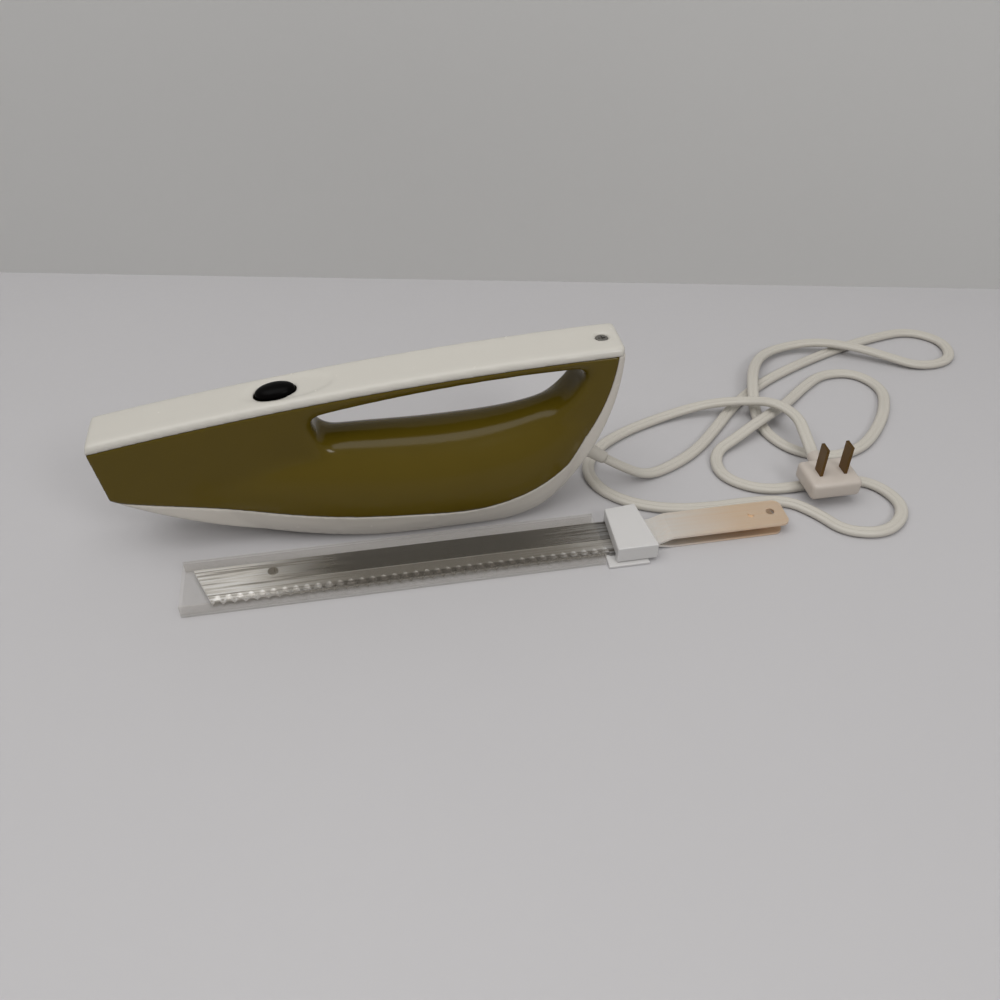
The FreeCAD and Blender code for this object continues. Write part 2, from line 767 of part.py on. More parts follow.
FAN_BLADES = 10
fan_hub = Part.makeCylinder(size("shaft_radius") + 2, size("fan_long"), Vector(0, 0, 0), Vector(1, 0, 0))
fan_disc = Part.makeCylinder(size("fan_radius"), 1.2, Vector(size("fan_long") - 1.2, 0, 0), Vector(1, 0, 0))
fan_wheel = fan_hub.fuse(fan_disc)
for number in range(FAN_BLADES):
    vane = Part.makeBox(size("fan_long"), size("fan_radius") - size("shaft_radius") - 1.5, 1.0,
                        Vector(0, size("shaft_radius") + 1, -0.5))
    vane.rotate(Vector(), Vector(1, 0, 0), 360 / FAN_BLADES * number)
    fan_wheel = fan_wheel.fuse(vane)
fan_bore = Part.makeCylinder(size("shaft_radius") + size("fit_gap"), size("fan_long") + 10,
                             Vector(-5, 0, 0), Vector(1, 0, 0))
fan_wheel = fan_wheel.cut(fan_bore)
fan_wheel.translate(Vector(size("fan_x"), 0, size("motor_z")))
node("cooling_fan", solid("cooling_fan_solid", fan_wheel))


def bearing(name, x):
    blank = rod(name + "_blank", "X", x, 0, "motor_z", "bearing_radius", "bearing_long")
    bore = rod(name + "_bore", "X", x + " - 5", 0, "motor_z", "shaft_radius + bearing_fit",
               "bearing_long + 10")
    return cut(name + "_cut", blank, bore)


node("front_bearing", bearing("front_bearing", "front_bearing_x"))
node("rear_bearing", bearing("rear_bearing", "rear_bearing_x"))
node("nose_bearing", bearing("nose_bearing", "nose_bearing_x"))


def bracket(name, x, foot_z, foot_x, screw_x):
    plate = box(name + "_plate", x, "-bracket_half", foot_z, "bracket_thick", "2 * bracket_half",
                "bracket_top - " + foot_z)
    foot = box(name + "_foot", foot_x, "-bracket_half / 2", foot_z, "foot_long", "bracket_half",
               "bracket_thick + 1.5")
    hole = rod(name + "_hole", "X", x + " - 9", 0, "motor_z", "bearing_radius + fit_gap",
               "bracket_thick + 18")
    way = rod(name + "_way", "Z", "%g" % screw_x, 0, foot_z + " - 5", "base_screw_shank + fit_gap", "12")
    return cut(name + "_cut", fuse(name + "_body", plate, foot), hole, way)


node("front_bracket", bracket("front_bracket", "front_bearing_x + bearing_long / 2", "front_foot_z",
                              "front_bearing_x + bearing_long / 2", FRONT_SCREW[0]))
node("rear_bracket", bracket("rear_bracket", "rear_bearing_x + 1", "rear_foot_z",
                             "rear_bearing_x + 3 - foot_long", REAR_SCREW[0]))

# Brush gear on the rear bracket

holders, brushes, brush_springs = [], [], []
MIDDLE = "commutator_x + commutator_long / 2"
INNER = "(commutator_radius + 1)"
HOLDER_LONG = "9.5"
for number, way in enumerate((1, -1)):
    shell_y = INNER if way > 0 else "-" + INNER + " - " + HOLDER_LONG
    holder = box("holder_%d" % number, MIDDLE + " - brush_side / 2 - 1", shell_y,
                 "motor_z - brush_side / 2 - 1", "rear_bearing_x + 2 + brush_side / 2 - (" + MIDDLE + ")",
                 HOLDER_LONG, "brush_side + 2")
    bore_y = shell_y + (" - 1" if way > 0 else " + 1.5")
    bore = box("holder_bore_%d" % number, MIDDLE + " - brush_side / 2 - fit_gap", bore_y,
               "motor_z - brush_side / 2 - fit_gap", "brush_side + 2 * fit_gap", HOLDER_LONG + " - 0.5",
               "brush_side + 2 * fit_gap")
    holders.append(cut("holder_cut_%d" % number, holder, bore))
    reach = "(commutator_radius + 0.2)"
    start = reach if way > 0 else "-" + reach + " - brush_long"
    brushes.append(box("brush_%d" % number, MIDDLE + " - brush_side / 2", start, "motor_z - brush_side / 2",
                       "brush_side", "brush_long", "brush_side"))
    coil_y = "%s + brush_long" % reach if way > 0 else "-%s - brush_long - 2.2" % reach
    coil = rod("brush_coil_%d" % number, "Y", MIDDLE, coil_y, "motor_z", "1.8", "2.2")
    coil_bore = rod("brush_coil_bore_%d" % number, "Y", MIDDLE, coil_y + " - 1", "motor_z", "1.1", "5")
    brush_springs.append(cut("brush_coil_cut_%d" % number, coil, coil_bore))
node("brush_holders", group("brush_holder_pair", *holders))
node("carbon_brushes", group("carbon_brush_pair", *brushes))
node("brush_springs", group("brush_spring_pair", *brush_springs))

# Worm gear with its two eccentrics, the axle and the gear frame

TEETH = int(size("gear_teeth"))
PITCH_RADIUS = TEETH * size("gear_module") / 2
GEAR_Z = size("motor_z") + PITCH_RADIUS + size("worm_radius") + size("mesh_gap")
TIP, ROOT = PITCH_RADIUS, PITCH_RADIUS - 2 * size("gear_module")
GEAR_X = size("nose_bearing_x") + size("gear_setback")
GEAR_RISE = "(motor_z + gear_teeth * gear_module / 2 + worm_radius + mesh_gap)"
TOOTH_SHARES = ((-0.36, ROOT), (-0.16, TIP), (0.16, TIP), (0.36, ROOT))


def tooth_points():
    points = []
    for tooth in range(TEETH):
        for share, radius in TOOTH_SHARES:
            turn = 2 * math.pi * (tooth + share) / TEETH
            points.append((GEAR_X + radius * math.cos(turn), GEAR_Z + radius * math.sin(turn)))
    return points


half_gear = size("gear_wide") / 2
gear_ring = padded("gear_ring", lines(*tooth_points()), -half_gear, half_gear, True)
near_cam = rod("near_cam", "Y", GEAR_SPOT + " - cam_throw", "-gear_wide / 2 - cam_long", GEAR_RISE,
               "cam_radius", "cam_long + 1")
far_cam = rod("far_cam", "Y", GEAR_SPOT + " + cam_throw", "gear_wide / 2 - 1", GEAR_RISE,
              "cam_radius", "cam_long + 1")
axle_bore = rod("axle_bore", "Y", GEAR_SPOT, "-frame_width", GEAR_RISE, "axle_radius + bearing_fit",
                "2 * frame_width")
node("drive_gear", cut("drive_gear_cut", fuse("gear_with_cams", gear_ring, near_cam, far_cam), axle_bore))
PLATE_OUTER = "(frame_width / 2 - wall - seat_gap)"
node("gear_axle", rod("gear_axle_rod", "Y", GEAR_SPOT, "0.4 - " + PLATE_OUTER, GEAR_RISE, "axle_radius",
                      "2 * " + PLATE_OUTER + " - 0.8"))

FRONT, REAR = size("nose_bearing_x") - size("frame_lead"), size("frame_rear")
LOW, HIGH = size("frame_low"), size("frame_high")
plate_outer = size("frame_width") / 2 - size("wall") - size("seat_gap")
plate_inner = size("driver_y") + size("driver_thick") + size("side_gap")
plate_lines = lines((FRONT, LOW), (REAR, LOW), (REAR, HIGH - 10), (REAR - 8, HIGH), (FRONT + 4, HIGH),
                    (FRONT, HIGH - 12))
near_plate = padded("near_plate", plate_lines, -plate_outer, -plate_inner, True)
far_plate = padded("far_plate", plate_lines, plate_inner, plate_outer, True)
FRAME_START = "nose_bearing_x - frame_lead"
frame_floor = box("frame_floor", FRAME_START, "-" + PLATE_OUTER, "frame_low",
                  "frame_rear - nose_bearing_x + frame_lead", "2 * " + PLATE_OUTER, "frame_floor")
frame_wall = box("frame_wall", FRAME_START, "-" + PLATE_OUTER, "frame_low", "frame_wall",
                 "2 * " + PLATE_OUTER, "motor_z + 7 - frame_low")
nose_seat = rod("nose_seat", "X", "nose_bearing_x - 10", 0, "motor_z", "bearing_radius + fit_gap", "30")
axle_seat = rod("axle_seat", "Y", GEAR_SPOT, "-frame_width", GEAR_RISE, "axle_radius + fit_gap",
                "2 * frame_width")
frame_body = fuse("gear_frame_body", near_plate, far_plate, frame_floor, frame_wall)
node("gear_frame", cut("gear_frame_cut", frame_body, nose_seat, axle_seat))

# Two blade drivers, each a yoke round its eccentric with an arm to the nose

WINDOW_HALF = size("cam_radius") + 2 * size("cam_throw") + size("running_gap")
WINDOW_RISE = size("cam_radius") + size("cam_throw") + size("running_gap")
YOKE_FRONT, YOKE_REAR = GEAR_X - WINDOW_HALF - size("rail"), GEAR_X + WINDOW_HALF + size("rail")
YOKE_LOW, YOKE_HIGH = GEAR_Z - WINDOW_RISE - size("rail"), GEAR_Z + WINDOW_RISE + size("rail")
ARM_FRONT = size("driver_setback") - size("nose_reach")
ARM_LOW = size("blade_axis_z") - size("arm_wide") / 2
ARM_HIGH = size("blade_axis_z") + size("arm_wide") / 2


def driver(name, low):
    outline = lines((ARM_FRONT, ARM_LOW), (YOKE_FRONT, ARM_LOW), (YOKE_FRONT, YOKE_LOW),
                    (YOKE_REAR, YOKE_LOW), (YOKE_REAR, YOKE_HIGH), (YOKE_FRONT, YOKE_HIGH),
                    (YOKE_FRONT, ARM_HIGH), (ARM_FRONT, ARM_HIGH))
    window = lines((GEAR_X - WINDOW_HALF, GEAR_Z - WINDOW_RISE), (GEAR_X + WINDOW_HALF, GEAR_Z - WINDOW_RISE),
                   (GEAR_X + WINDOW_HALF, GEAR_Z + WINDOW_RISE), (GEAR_X - WINDOW_HALF, GEAR_Z + WINDOW_RISE))
    return padded(name, outline + window, low, low + size("driver_thick"), True)


PEG_X = "driver_setback - nose_reach + peg_inset"
left_plate = driver("left_driver_plate", -size("driver_y") - size("driver_thick"))
left_peg = rod("left_peg", "Y", PEG_X, "-driver_y - 1", "blade_axis_z", "peg_radius", "peg_long + 1")
node("left_driver", fuse("left_driver_fused", left_plate, left_peg))
right_plate = driver("right_driver_plate", size("driver_y"))
right_peg = rod("right_peg", "Y", PEG_X, "driver_y - peg_long", "blade_axis_z", "peg_radius", "peg_long + 1")
node("right_driver", fuse("right_driver_fused", right_plate, right_peg))

# Blade pair, laid flat: scalloped edge to the front, tangs joggled apart

BLADE_Y, HALF_BLADE = size("blade_y"), size("blade_wide") / 2
SPINE, EDGE = BLADE_Y + HALF_BLADE, BLADE_Y - HALF_BLADE
THICK = size("blade_thick")
LOW_BLADE = size("blade_low")
HIGH_BLADE = LOW_BLADE + THICK + size("blade_gap")
TANG_HALF = size("tang_wide") / 2
TOE_X, HEEL_X = size("blade_tip") + size("tip_slant"), size("guard_x") - 2
TOOTH_COUNT = int((HEEL_X - TOE_X) / size("tooth_pitch"))
TOOTH_PITCH = (HEEL_X - TOE_X) / TOOTH_COUNT


def scalloped_edge():
    edges = []
    for number in range(TOOTH_COUNT):
        left = Vector(TOE_X + number * TOOTH_PITCH, EDGE, 0)
        dip = Vector(left.x + TOOTH_PITCH / 2, EDGE + size("tooth_deep"), 0)
        right = Vector(left.x + TOOTH_PITCH, EDGE, 0)
        edges.append(Part.Arc(left, dip, right))
    return edges


# Each scallop is hollow ground from the outer face, as by a round stone held at a slant
def ground_scallops(name, face, way):
    deep, reach = size("grind_deep"), size("grind_long")
    half_chord = TOOTH_PITCH * size("grind_share") / 2
    radius = (half_chord ** 2 + deep ** 2) / (2 * deep)
    axis = Vector(0, reach, way * deep)
    stones = []
    for number in range(TOOTH_COUNT):
        x = TOE_X + (number + 0.5) * TOOTH_PITCH
        on_edge = Vector(x, EDGE, face + way * (radius - deep))
        stone = doc.addObject("Part::Cylinder", "%s_%d" % (name, number))
        stone.Radius = radius
        stone.Height = 3 * reach
        stone.Placement = FreeCAD.Placement(on_edge - axis, Rotation(Vector(0, 0, 1), axis))
        stones.append(stone)
    return stones


def blade_plate(name, low):
    tip = Vector(size("blade_tip"), SPINE, 0)
    toe = Vector(TOE_X, EDGE, 0)
    heel = Vector(HEEL_X, EDGE, 0)
    shoulder = Vector(size("guard_x") + 7, EDGE, 0)
    tang_near = Vector(size("guard_x") + 10, BLADE_Y - TANG_HALF, 0)
    tang_far = Vector(size("guard_x") + 10, BLADE_Y + TANG_HALF, 0)
    crest = Vector(size("guard_x") + 7, SPINE, 0)
    edges = [Part.LineSegment(tip, toe)] + scalloped_edge()
    ring = [heel, shoulder, tang_near, tang_far, crest, tip]
    edges += [Part.LineSegment(a, b) for a, b in zip(ring, ring[1:])]
    return padded(name, edges, low, low + THICK)


def tang(name, low, rise, end):
    start, bend = size("guard_x") + 9, size("joggle_x")
    flat = bend + size("joggle_long")
    under = [(start, low), (bend, low), (flat, low + rise), (end, low + rise)]
    upper = [(x, z + THICK) for x, z in reversed(under)]
    body = padded(name, lines(*under, *upper), BLADE_Y - TANG_HALF, BLADE_Y + TANG_HALF, True)
    doc.recompute()
    pad = body.Tip
    corners = []
    for number, edge in enumerate(pad.Shape.Edges, start=1):
        if edge.BoundBox.XMin > end - 1e-6 and edge.BoundBox.YLength < 1e-6:
            corners.append("Edge%d" % number)
    rounding = body.newObject("PartDesign::Fillet", name + "_rounding")
    rounding.Base = (pad, corners)
    bind(rounding, Radius="tang_corner")
    return body


RIVET_Y = "blade_y + 4"
UPPER_Z = "(blade_low + blade_thick + blade_gap)"
upper_plate = blade_plate("upper_plate", HIGH_BLADE)
upper_tang = tang("upper_tang", HIGH_BLADE, size("tang_rise"), size("tang_end"))
lug = rod("lug", "Z", "lug_x", "blade_y + 0.5", UPPER_Z + " + tang_rise + blade_thick - 0.2", "1.5", "1")
upper_hole = rod("upper_hole", "Z", "rivet_x", RIVET_Y, 0, "rivet_radius + fit_gap", "20")
upper_peg_way = rod("upper_peg_way", "Z", "tang_hole_x", "blade_y + 1", 0, "tang_hole", "20")
upper_stones = ground_scallops("upper_stone", HIGH_BLADE + THICK, 1)
upper_ground = cut("upper_plate_ground", upper_plate, *upper_stones)
upper_body = fuse("upper_blade_fused", upper_ground, upper_tang, lug)
node("upper_blade", cut("upper_blade_cut", upper_body, upper_hole, upper_peg_way))
lower_plate = blade_plate("lower_plate", LOW_BLADE)
lower_tang = tang("lower_tang", LOW_BLADE, -size("tang_drop"), size("tang_end") - size("tang_short"))
SLOT_GAP = "(rivet_radius + fit_gap + seat_gap)"
stroke_slot = box("stroke_slot", "rivet_x - blade_stroke - " + SLOT_GAP, RIVET_Y + " - " + SLOT_GAP, 0,
                  "blade_stroke + 2 * " + SLOT_GAP, "2 * " + SLOT_GAP, "10")
lower_peg_way = rod("lower_peg_way", "Z", "tang_hole_x - tang_short", "blade_y + 1", -5, "tang_hole", "20")
lower_stones = ground_scallops("lower_stone", LOW_BLADE, -1)
lower_ground = cut("lower_plate_ground", lower_plate, *lower_stones)
lower_body = fuse("lower_blade_fused", lower_ground, lower_tang)
node("lower_blade", cut("lower_blade_cut", lower_body, stroke_slot, lower_peg_way))
rivet_stem = rod("rivet_stem", "Z", "rivet_x", RIVET_Y, "blade_low", "rivet_radius",
                 "2 * blade_thick + blade_gap")
rivet_head = rod("rivet_head", "Z", "rivet_x", RIVET_Y, UPPER_Z + " + blade_thick", "rivet_radius + 0.7",
                 "0.5")
node("blade_rivet", fuse("blade_rivet_fused", rivet_stem, rivet_head))

GUARD = size("guard_x")
GUARD_LONG = size("guard_long")
NEAR = BLADE_Y - size("guard_wide") / 2 - 1.7
FAR = BLADE_Y + size("guard_wide") / 2


def guard_plan(shift, lip):
    return ((GUARD + 0.5 + shift, FAR - 1.5), (GUARD + GUARD_LONG - 2 + shift, FAR),
            (GUARD + GUARD_LONG + 1.5 + shift, NEAR - lip), (GUARD - 0.3 + shift, NEAR - lip))


skirt_low = size("guard_plate") + size("seat_gap")
guard_block = padded("guard_block", lines(*guard_plan(0, 0)), skirt_low, size("guard_top"))
blade_way = box("blade_way", "guard_x - 9", "blade_y - blade_wide / 2 - 1.2", -5, "49", "blade_wide + 1.8",
                UPPER_Z + " + blade_thick + 5")
node("upper_guard", cut("upper_guard_cut", guard_block, blade_way))
lip_lines = lines(*guard_plan(-size("guard_shift"), 1.8))
node("lower_guard", padded("lower_guard_plate", lip_lines, 0, size("guard_plate")))

# Clear sheath, a flat tube open at both ends

sheath_out = box("sheath_out", "sheath_front", "blade_y - sheath_wide / 2", 0, "sheath_rear - sheath_front",
                 "sheath_wide", "sheath_tall")
sheath_in = box("sheath_in", "sheath_front - 5", "blade_y - sheath_wide / 2 + sheath_wall", "sheath_wall",
                "sheath_rear - sheath_front + 10", "sheath_wide - 2 * sheath_wall",
                "sheath_tall - 2 * sheath_wall")
node("blade_sheath", cut("blade_sheath_cut", sheath_out, sheath_in))

# Plug with its prongs standing up, and the cord that lies in a loose pile

PLUG_X, PLUG_LOW = size("plug_x"), size("plug_low")
HALF_PLUG = size("plug_wide") / 2
plug_lines = rounded_lines(PLUG_X - HALF_PLUG, PLUG_X + HALF_PLUG, size("plug_front"), size("plug_back"),
                           size("plug_corner"))
plug_block = padded("plug_block", plug_lines, PLUG_LOW, PLUG_LOW + size("plug_tall"))
plug_boot = cone("plug_boot", "Y", "plug_x", "plug_back - 1", "plug_low + plug_tall / 2", "boot_radius",
                 "cord_radius + 0.6", "boot_long + 1")
plug_fused = fuse("plug_fused", plug_block, plug_boot)
prongs = []
prong_ways = []
for number, way in enumerate((-1, 1)):
    x = "plug_x + %d * prong_gap / 2 - prong_thick / 2" % way
    y = "plug_front + prong_inset"
    z = "plug_low + plug_tall - prong_sunk"
    prongs.append(box("prong_%d" % number, x, y, z, "prong_thick", "prong_wide", "prong_long + prong_sunk"))
    prong_ways.append(box("prong_way_%d" % number, x, y, z, "prong_thick", "prong_wide", "prong_long + 9"))
node("plug_body", cut("plug_body_cut", plug_fused, *prong_ways))
node("plug_prongs", group("plug_prong_pair", *prongs))

FLOOR = size("cord_radius") + size("floor_gap")
OVER = FLOOR + 2 * size("cord_radius") + 1.0
PLUG_END = Vector(PLUG_X, size("plug_back") + size("boot_long"), PLUG_LOW + size("plug_tall") / 2)
LAY = (
    (131, 2, FLOOR), (147, 8, FLOOR), (163, 18, FLOOR), (179, 34, FLOOR), (197, 54, FLOOR),
    (220, 72, FLOOR), (249, 87, FLOOR), (280, 99.5, FLOOR), (309, 108, FLOOR), (333, 111.5, FLOOR),
    (349.5, 96, FLOOR), (343, 75.5, FLOOR), (321, 72, FLOOR), (303, 82, 6), (288, 91, OVER),
    (269, 101, OVER), (251, 105, 5), (232, 99, 5), (218, 81, OVER), (209, 58, OVER),
    (205, 40, FLOOR), (206, 22, FLOOR), (215, 7, FLOOR), (232, 0, FLOOR), (250, 4, FLOOR),
    (266, 18, FLOOR), (280, 36, FLOOR), (288, 55, FLOOR), (279, 73, FLOOR), (259, 75, FLOOR),
    (242, 63, FLOOR), (227, 50, 3.2), (213, 37, OVER), (200, 29, OVER), (187, 22, 5.5),
    (171, 14, FLOOR), (168, -5.5, FLOOR), (184, -19, FLOOR), (204, -20, FLOOR), (224, -17, FLOOR),
    (244, -23, FLOOR), (251, -44, FLOOR), (235, -60, FLOOR), (213.5, -56, FLOOR), (204, -42, FLOOR),
    (193, -31, FLOOR), (176, -28.7, FLOOR), (155, -28.4, FLOOR), (134, -25, FLOOR), (115, -16.5, FLOOR),
    (103, -3, FLOOR), (101, 14, FLOOR), (111, 29, FLOOR), (128, 40, FLOOR), (148, 48, FLOOR),
    (168, 52, 5), (184, 51, OVER), (200, 46, 10.2), (212, 37, 14.3), (219.5, 23, 14.2), (218, 8, 12.4),
)
ROUTE = [RELIEF_END, RELIEF_END + RELIEF_WAY * 13] + [Vector(*spot) for spot in LAY] + [PLUG_END]


def cord_path(points):
    edges, radii = [], []
    start = points[0]
    for before, here, after in zip(points, points[1:], points[2:]):
        into, away = (before - here), (after - here)
        reach = 0.45 * min(into.Length, away.Length)
        first = here + into.normalize() * reach
        last = here + away.normalize() * reach
        turn = math.pi - into.getAngle(away)
        radius = reach / math.tan(turn / 2)
        inward = (into + away).normalize()
        middle = here + inward * (radius / math.cos(turn / 2) - radius)
        edges.append(Part.makeLine(start, first))
        edges.append(Part.Arc(first, middle, last).toShape())
        start = last
        radii.append(round(radius, 1))
    edges.append(Part.makeLine(start, points[-1]))
    return Part.Wire(edges), radii


path, radii = cord_path(ROUTE)
ring = Part.Wire(Part.Circle(ROUTE[0], RELIEF_WAY, size("cord_radius")).toShape())
cord = path.makePipeShell([ring], True, False)
section = math.pi * size("cord_radius") ** 2
print("smallest cord bend", min(radii))
print("cord length", round(path.Length, 1), "volume ratio", round(cord.Volume / section / path.Length, 4))
node("power_cord", solid("power_cord_solid", cord))

# Check every object, then write each piece

doc.recompute()
for thing in doc.Objects:
    if "Invalid" in thing.State or "Error" in thing.State:
        raise RuntimeError("failed object " + thing.Name)
os.makedirs("parts", exist_ok=True)
for piece in nodes:
    if piece.Shape.isNull() or not piece.Shape.isValid():
        raise RuntimeError("bad shape " + piece.Label)
    piece.Shape.exportStep("parts/%s.step" % piece.Label)
    print(piece.Label, len(piece.Shape.Solids), round(piece.Shape.Volume, 1))
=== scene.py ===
"""Dresses the carving knife: finishes, the twin cord, the plug and a plain studio."""

import math

import bpy
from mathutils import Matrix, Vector
from mathutils.bvhtree import BVHTree


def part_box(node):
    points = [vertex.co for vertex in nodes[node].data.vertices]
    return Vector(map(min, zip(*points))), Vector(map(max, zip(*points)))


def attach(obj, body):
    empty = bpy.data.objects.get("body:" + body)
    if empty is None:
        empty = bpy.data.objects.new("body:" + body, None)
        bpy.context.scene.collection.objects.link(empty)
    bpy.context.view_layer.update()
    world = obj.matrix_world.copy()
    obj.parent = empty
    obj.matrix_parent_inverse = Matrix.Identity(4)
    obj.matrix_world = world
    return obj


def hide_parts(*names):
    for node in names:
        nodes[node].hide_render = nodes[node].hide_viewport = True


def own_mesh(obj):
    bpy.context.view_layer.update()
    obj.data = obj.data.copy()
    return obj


bl_info = {
    "name": "Carving knife looks",
    "version": (1, 0, 0),
    "blender": (4, 5, 0),
    "location": "View3D > Sidebar > Knife",
    "description": "Finishes, cord, plug and studio of an electric carving knife",
    "category": "Object",
}

MM = 0.001
WHITE, BLACK = (1, 1, 1), (0, 0, 0)
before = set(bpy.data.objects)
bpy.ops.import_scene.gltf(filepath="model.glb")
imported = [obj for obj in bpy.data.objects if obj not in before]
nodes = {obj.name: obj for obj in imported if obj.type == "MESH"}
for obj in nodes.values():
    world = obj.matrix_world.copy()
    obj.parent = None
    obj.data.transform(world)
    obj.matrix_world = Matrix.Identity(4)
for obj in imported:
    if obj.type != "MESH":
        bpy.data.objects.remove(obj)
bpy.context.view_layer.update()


# Sizes and colours that a user would change

def linear(text):
    """An sRGB hex value as linear colour."""
    channels = [int(text[i:i + 2], 16) / 255 for i in (0, 2, 4)]
    return tuple(c / 12.92 if c <= 0.04045 else ((c + 0.055) / 1.055) ** 2.4 for c in channels)


def colour(label, text):
    """A colour property with its default."""
    return bpy.props.FloatVectorProperty(
        name=label, description="Base colour of the " + label.lower(), subtype="COLOR",
        size=3, min=0, max=1, default=linear(text))


def length(label, about, millimetres):
    """A length property with its default."""
    return bpy.props.FloatProperty(
        name=label, description=about, subtype="DISTANCE", unit="LENGTH", default=millimetres * MM)


class KnifeColours(bpy.types.PropertyGroup):
    """Colours of the finishes."""

    shell: colour("Side shell", "5a4b11")
    cover: colour("Top cover", "c7c3ba")
    belly: colour("Bottom cover", "cac4bb")
    button: colour("Button", "060505")
    cord: colour("Cord", "c4bfb5")
    plug: colour("Plug", "c3b9af")
    guard: colour("Blade guard", "cccac8")
    # Painted dark, standing for the dark reflection of the polished flank
    mirror: colour("Polished flank", "3a3836")
    ground: colour("Ground zone", "96928c")
    # Painted shade in the hollows of the teeth
    hollow_shade: colour("Hollow of a tooth", "453f3a")
    bright: colour("Bright steel", "e6e2dc")
    tang: colour("Tang steel", "e4cbaf")
    brass: colour("Prong brass", "6f5632")
    floor: colour("Floor", "bebcbd")
    wall: colour("Wall", "cbcac8")


class KnifeSizes(bpy.types.PropertyGroup):
    """Sizes of what is added to the solids."""

    cord_wide: length("Cord width", "Across both conductors", 6.4)
    cord_tall: length("Cord height", "Across one conductor", 3.6)
    seam_room: length("Seam room", "Strip along the seams that keeps its shape", 2.2)
    nose_room: length("Nose room", "Length of the nose that keeps its shape", 18)
    boot_long: length("Boot length", "Sleeve between the plug and the cord", 8)
    plug_edge: length("Plug edge", "Rounding of the plug's edges", 2.4)
    guard_edge: length("Guard edge", "Rounding of the guard's edges", 0.9)
    lamp_height: length("Lamp height", "Height of the main lamp", 1300)


def colours():
    return bpy.context.scene.knife_colours


def sizes():
    return bpy.context.scene.knife_sizes


# Materials

def opaque(tone):
    """A colour with full alpha."""
    return list(tone) + [1]


def add_node(tree, kind, settings=None, values=None, links=None, stops=()):
    """Adds one node with its settings, socket values, links and colour stops."""
    node = tree.nodes.new(kind)
    for name, value in (settings or {}).items():
        setattr(node, name, value)
    for name, value in (values or {}).items():
        node.inputs[name].default_value = value
    for name, socket in (links or {}).items():
        tree.links.new(socket, node.inputs[name])
    if stops:
        spots = node.color_ramp.elements
        spots.remove(spots[1])
        for index, (position, tone) in enumerate(stops):
            spot = spots.new(position) if index else spots[0]
            spot.position = position
            spot.color = opaque(tone)
    return node


def new_finish(name, **values):
    """A material, its tree and its shader with the given socket values."""
    finish = bpy.data.materials.new(name)
    finish.use_nodes = True
    tree = finish.node_tree
    shader = tree.nodes["Principled BSDF"]
    for socket, value in values.items():
        shader.inputs[socket.replace("_", " ")].default_value = value
    return finish, tree, shader


def per_metre(millimetres):
    """Noise scale for features of that size."""
    return 1 / (millimetres * MM)


# Plastic: rubbed patches and how far they change the gloss, and the pitch and depth of the orange peel
PLASTIC_IOR = 1.53
RUB_MM, RUB_GLOSSY, RUB_DULL = 4, 0.75, 1.3
PEEL_MM, PEEL_DEEP_MM = 1.6, 0.4


def moulded_plastic(name, base, roughness, cloud_mm=22, shade=0.9, bump=0.04, shine=0.35):
    """Moulded ABS: an even colour with faint clouds, a glossy skin and a slight orange peel."""
    finish, tree, shader = new_finish(name, IOR=PLASTIC_IOR, Specular_IOR_Level=shine)
    where = add_node(tree, "ShaderNodeTexCoord").outputs["Object"]
    cloud = add_node(tree, "ShaderNodeTexNoise", links={"Vector": where},
                     values={"Scale": per_metre(cloud_mm), "Detail": 3})
    tone = add_node(tree, "ShaderNodeMix", {"data_type": "RGBA"}, links={"Factor": cloud.outputs["Fac"]},
                    values={"A": opaque(base), "B": opaque(c * shade for c in base)})
    tree.links.new(tone.outputs["Result"], shader.inputs["Base Color"])
    rub = add_node(tree, "ShaderNodeTexNoise", links={"Vector": where},
                   values={"Scale": per_metre(RUB_MM), "Detail": 4})
    gloss = add_node(tree, "ShaderNodeMapRange", links={"Value": rub.outputs["Fac"]},
                     values={"To Min": roughness * RUB_GLOSSY, "To Max": roughness * RUB_DULL})
    tree.links.new(gloss.outputs["Result"], shader.inputs["Roughness"])
    peel = add_node(tree, "ShaderNodeTexNoise", links={"Vector": where},
                    values={"Scale": per_metre(PEEL_MM), "Detail": 2})
    relief = add_node(tree, "ShaderNodeBump", links={"Height": peel.outputs["Fac"]},
                      values={"Strength": bump, "Distance": PEEL_DEEP_MM * MM})
    tree.links.new(relief.outputs["Normal"], shader.inputs["Normal"])
    return finish


# Metal: how far the grain changes the gloss, how deep it is and how much of that shows
GRAIN_GLOSSY, GRAIN_DULL = 0.6, 1.5
GRAIN_DEEP_MM, GRAIN_RELIEF = 0.2, 0.05


def metal(name, base, roughness, grain_mm=(0.4, 8, 8)):
    """Bare metal: a mirror broken up by a fine directional grain."""
    finish, tree, shader = new_finish(name, Metallic=1.0)
    shader.inputs["Base Color"].default_value = opaque(base)
    where = add_node(tree, "ShaderNodeTexCoord").outputs["Object"]
    stretch = add_node(tree, "ShaderNodeMapping", links={"Vector": where},
                       values={"Scale": [per_metre(g) for g in grain_mm]})
    grain = add_node(tree, "ShaderNodeTexNoise", links={"Vector": stretch.outputs["Vector"]},
                     values={"Scale": 1, "Detail": 3})
    gloss = add_node(tree, "ShaderNodeMapRange", links={"Value": grain.outputs["Fac"]},
                     values={"To Min": roughness * GRAIN_GLOSSY, "To Max": roughness * GRAIN_DULL})
    tree.links.new(gloss.outputs["Result"], shader.inputs["Roughness"])
    relief = add_node(tree, "ShaderNodeBump", links={"Height": grain.outputs["Fac"]},
                      values={"Strength": GRAIN_RELIEF, "Distance": GRAIN_DEEP_MM * MM})
    tree.links.new(relief.outputs["Normal"], shader.inputs["Normal"])
    return finish


# Blade: strip shaded along the edge in millimetres, and the share of it where the polished flank begins
GRIND_BAND = 10
GRIND_SHARE = 0.9
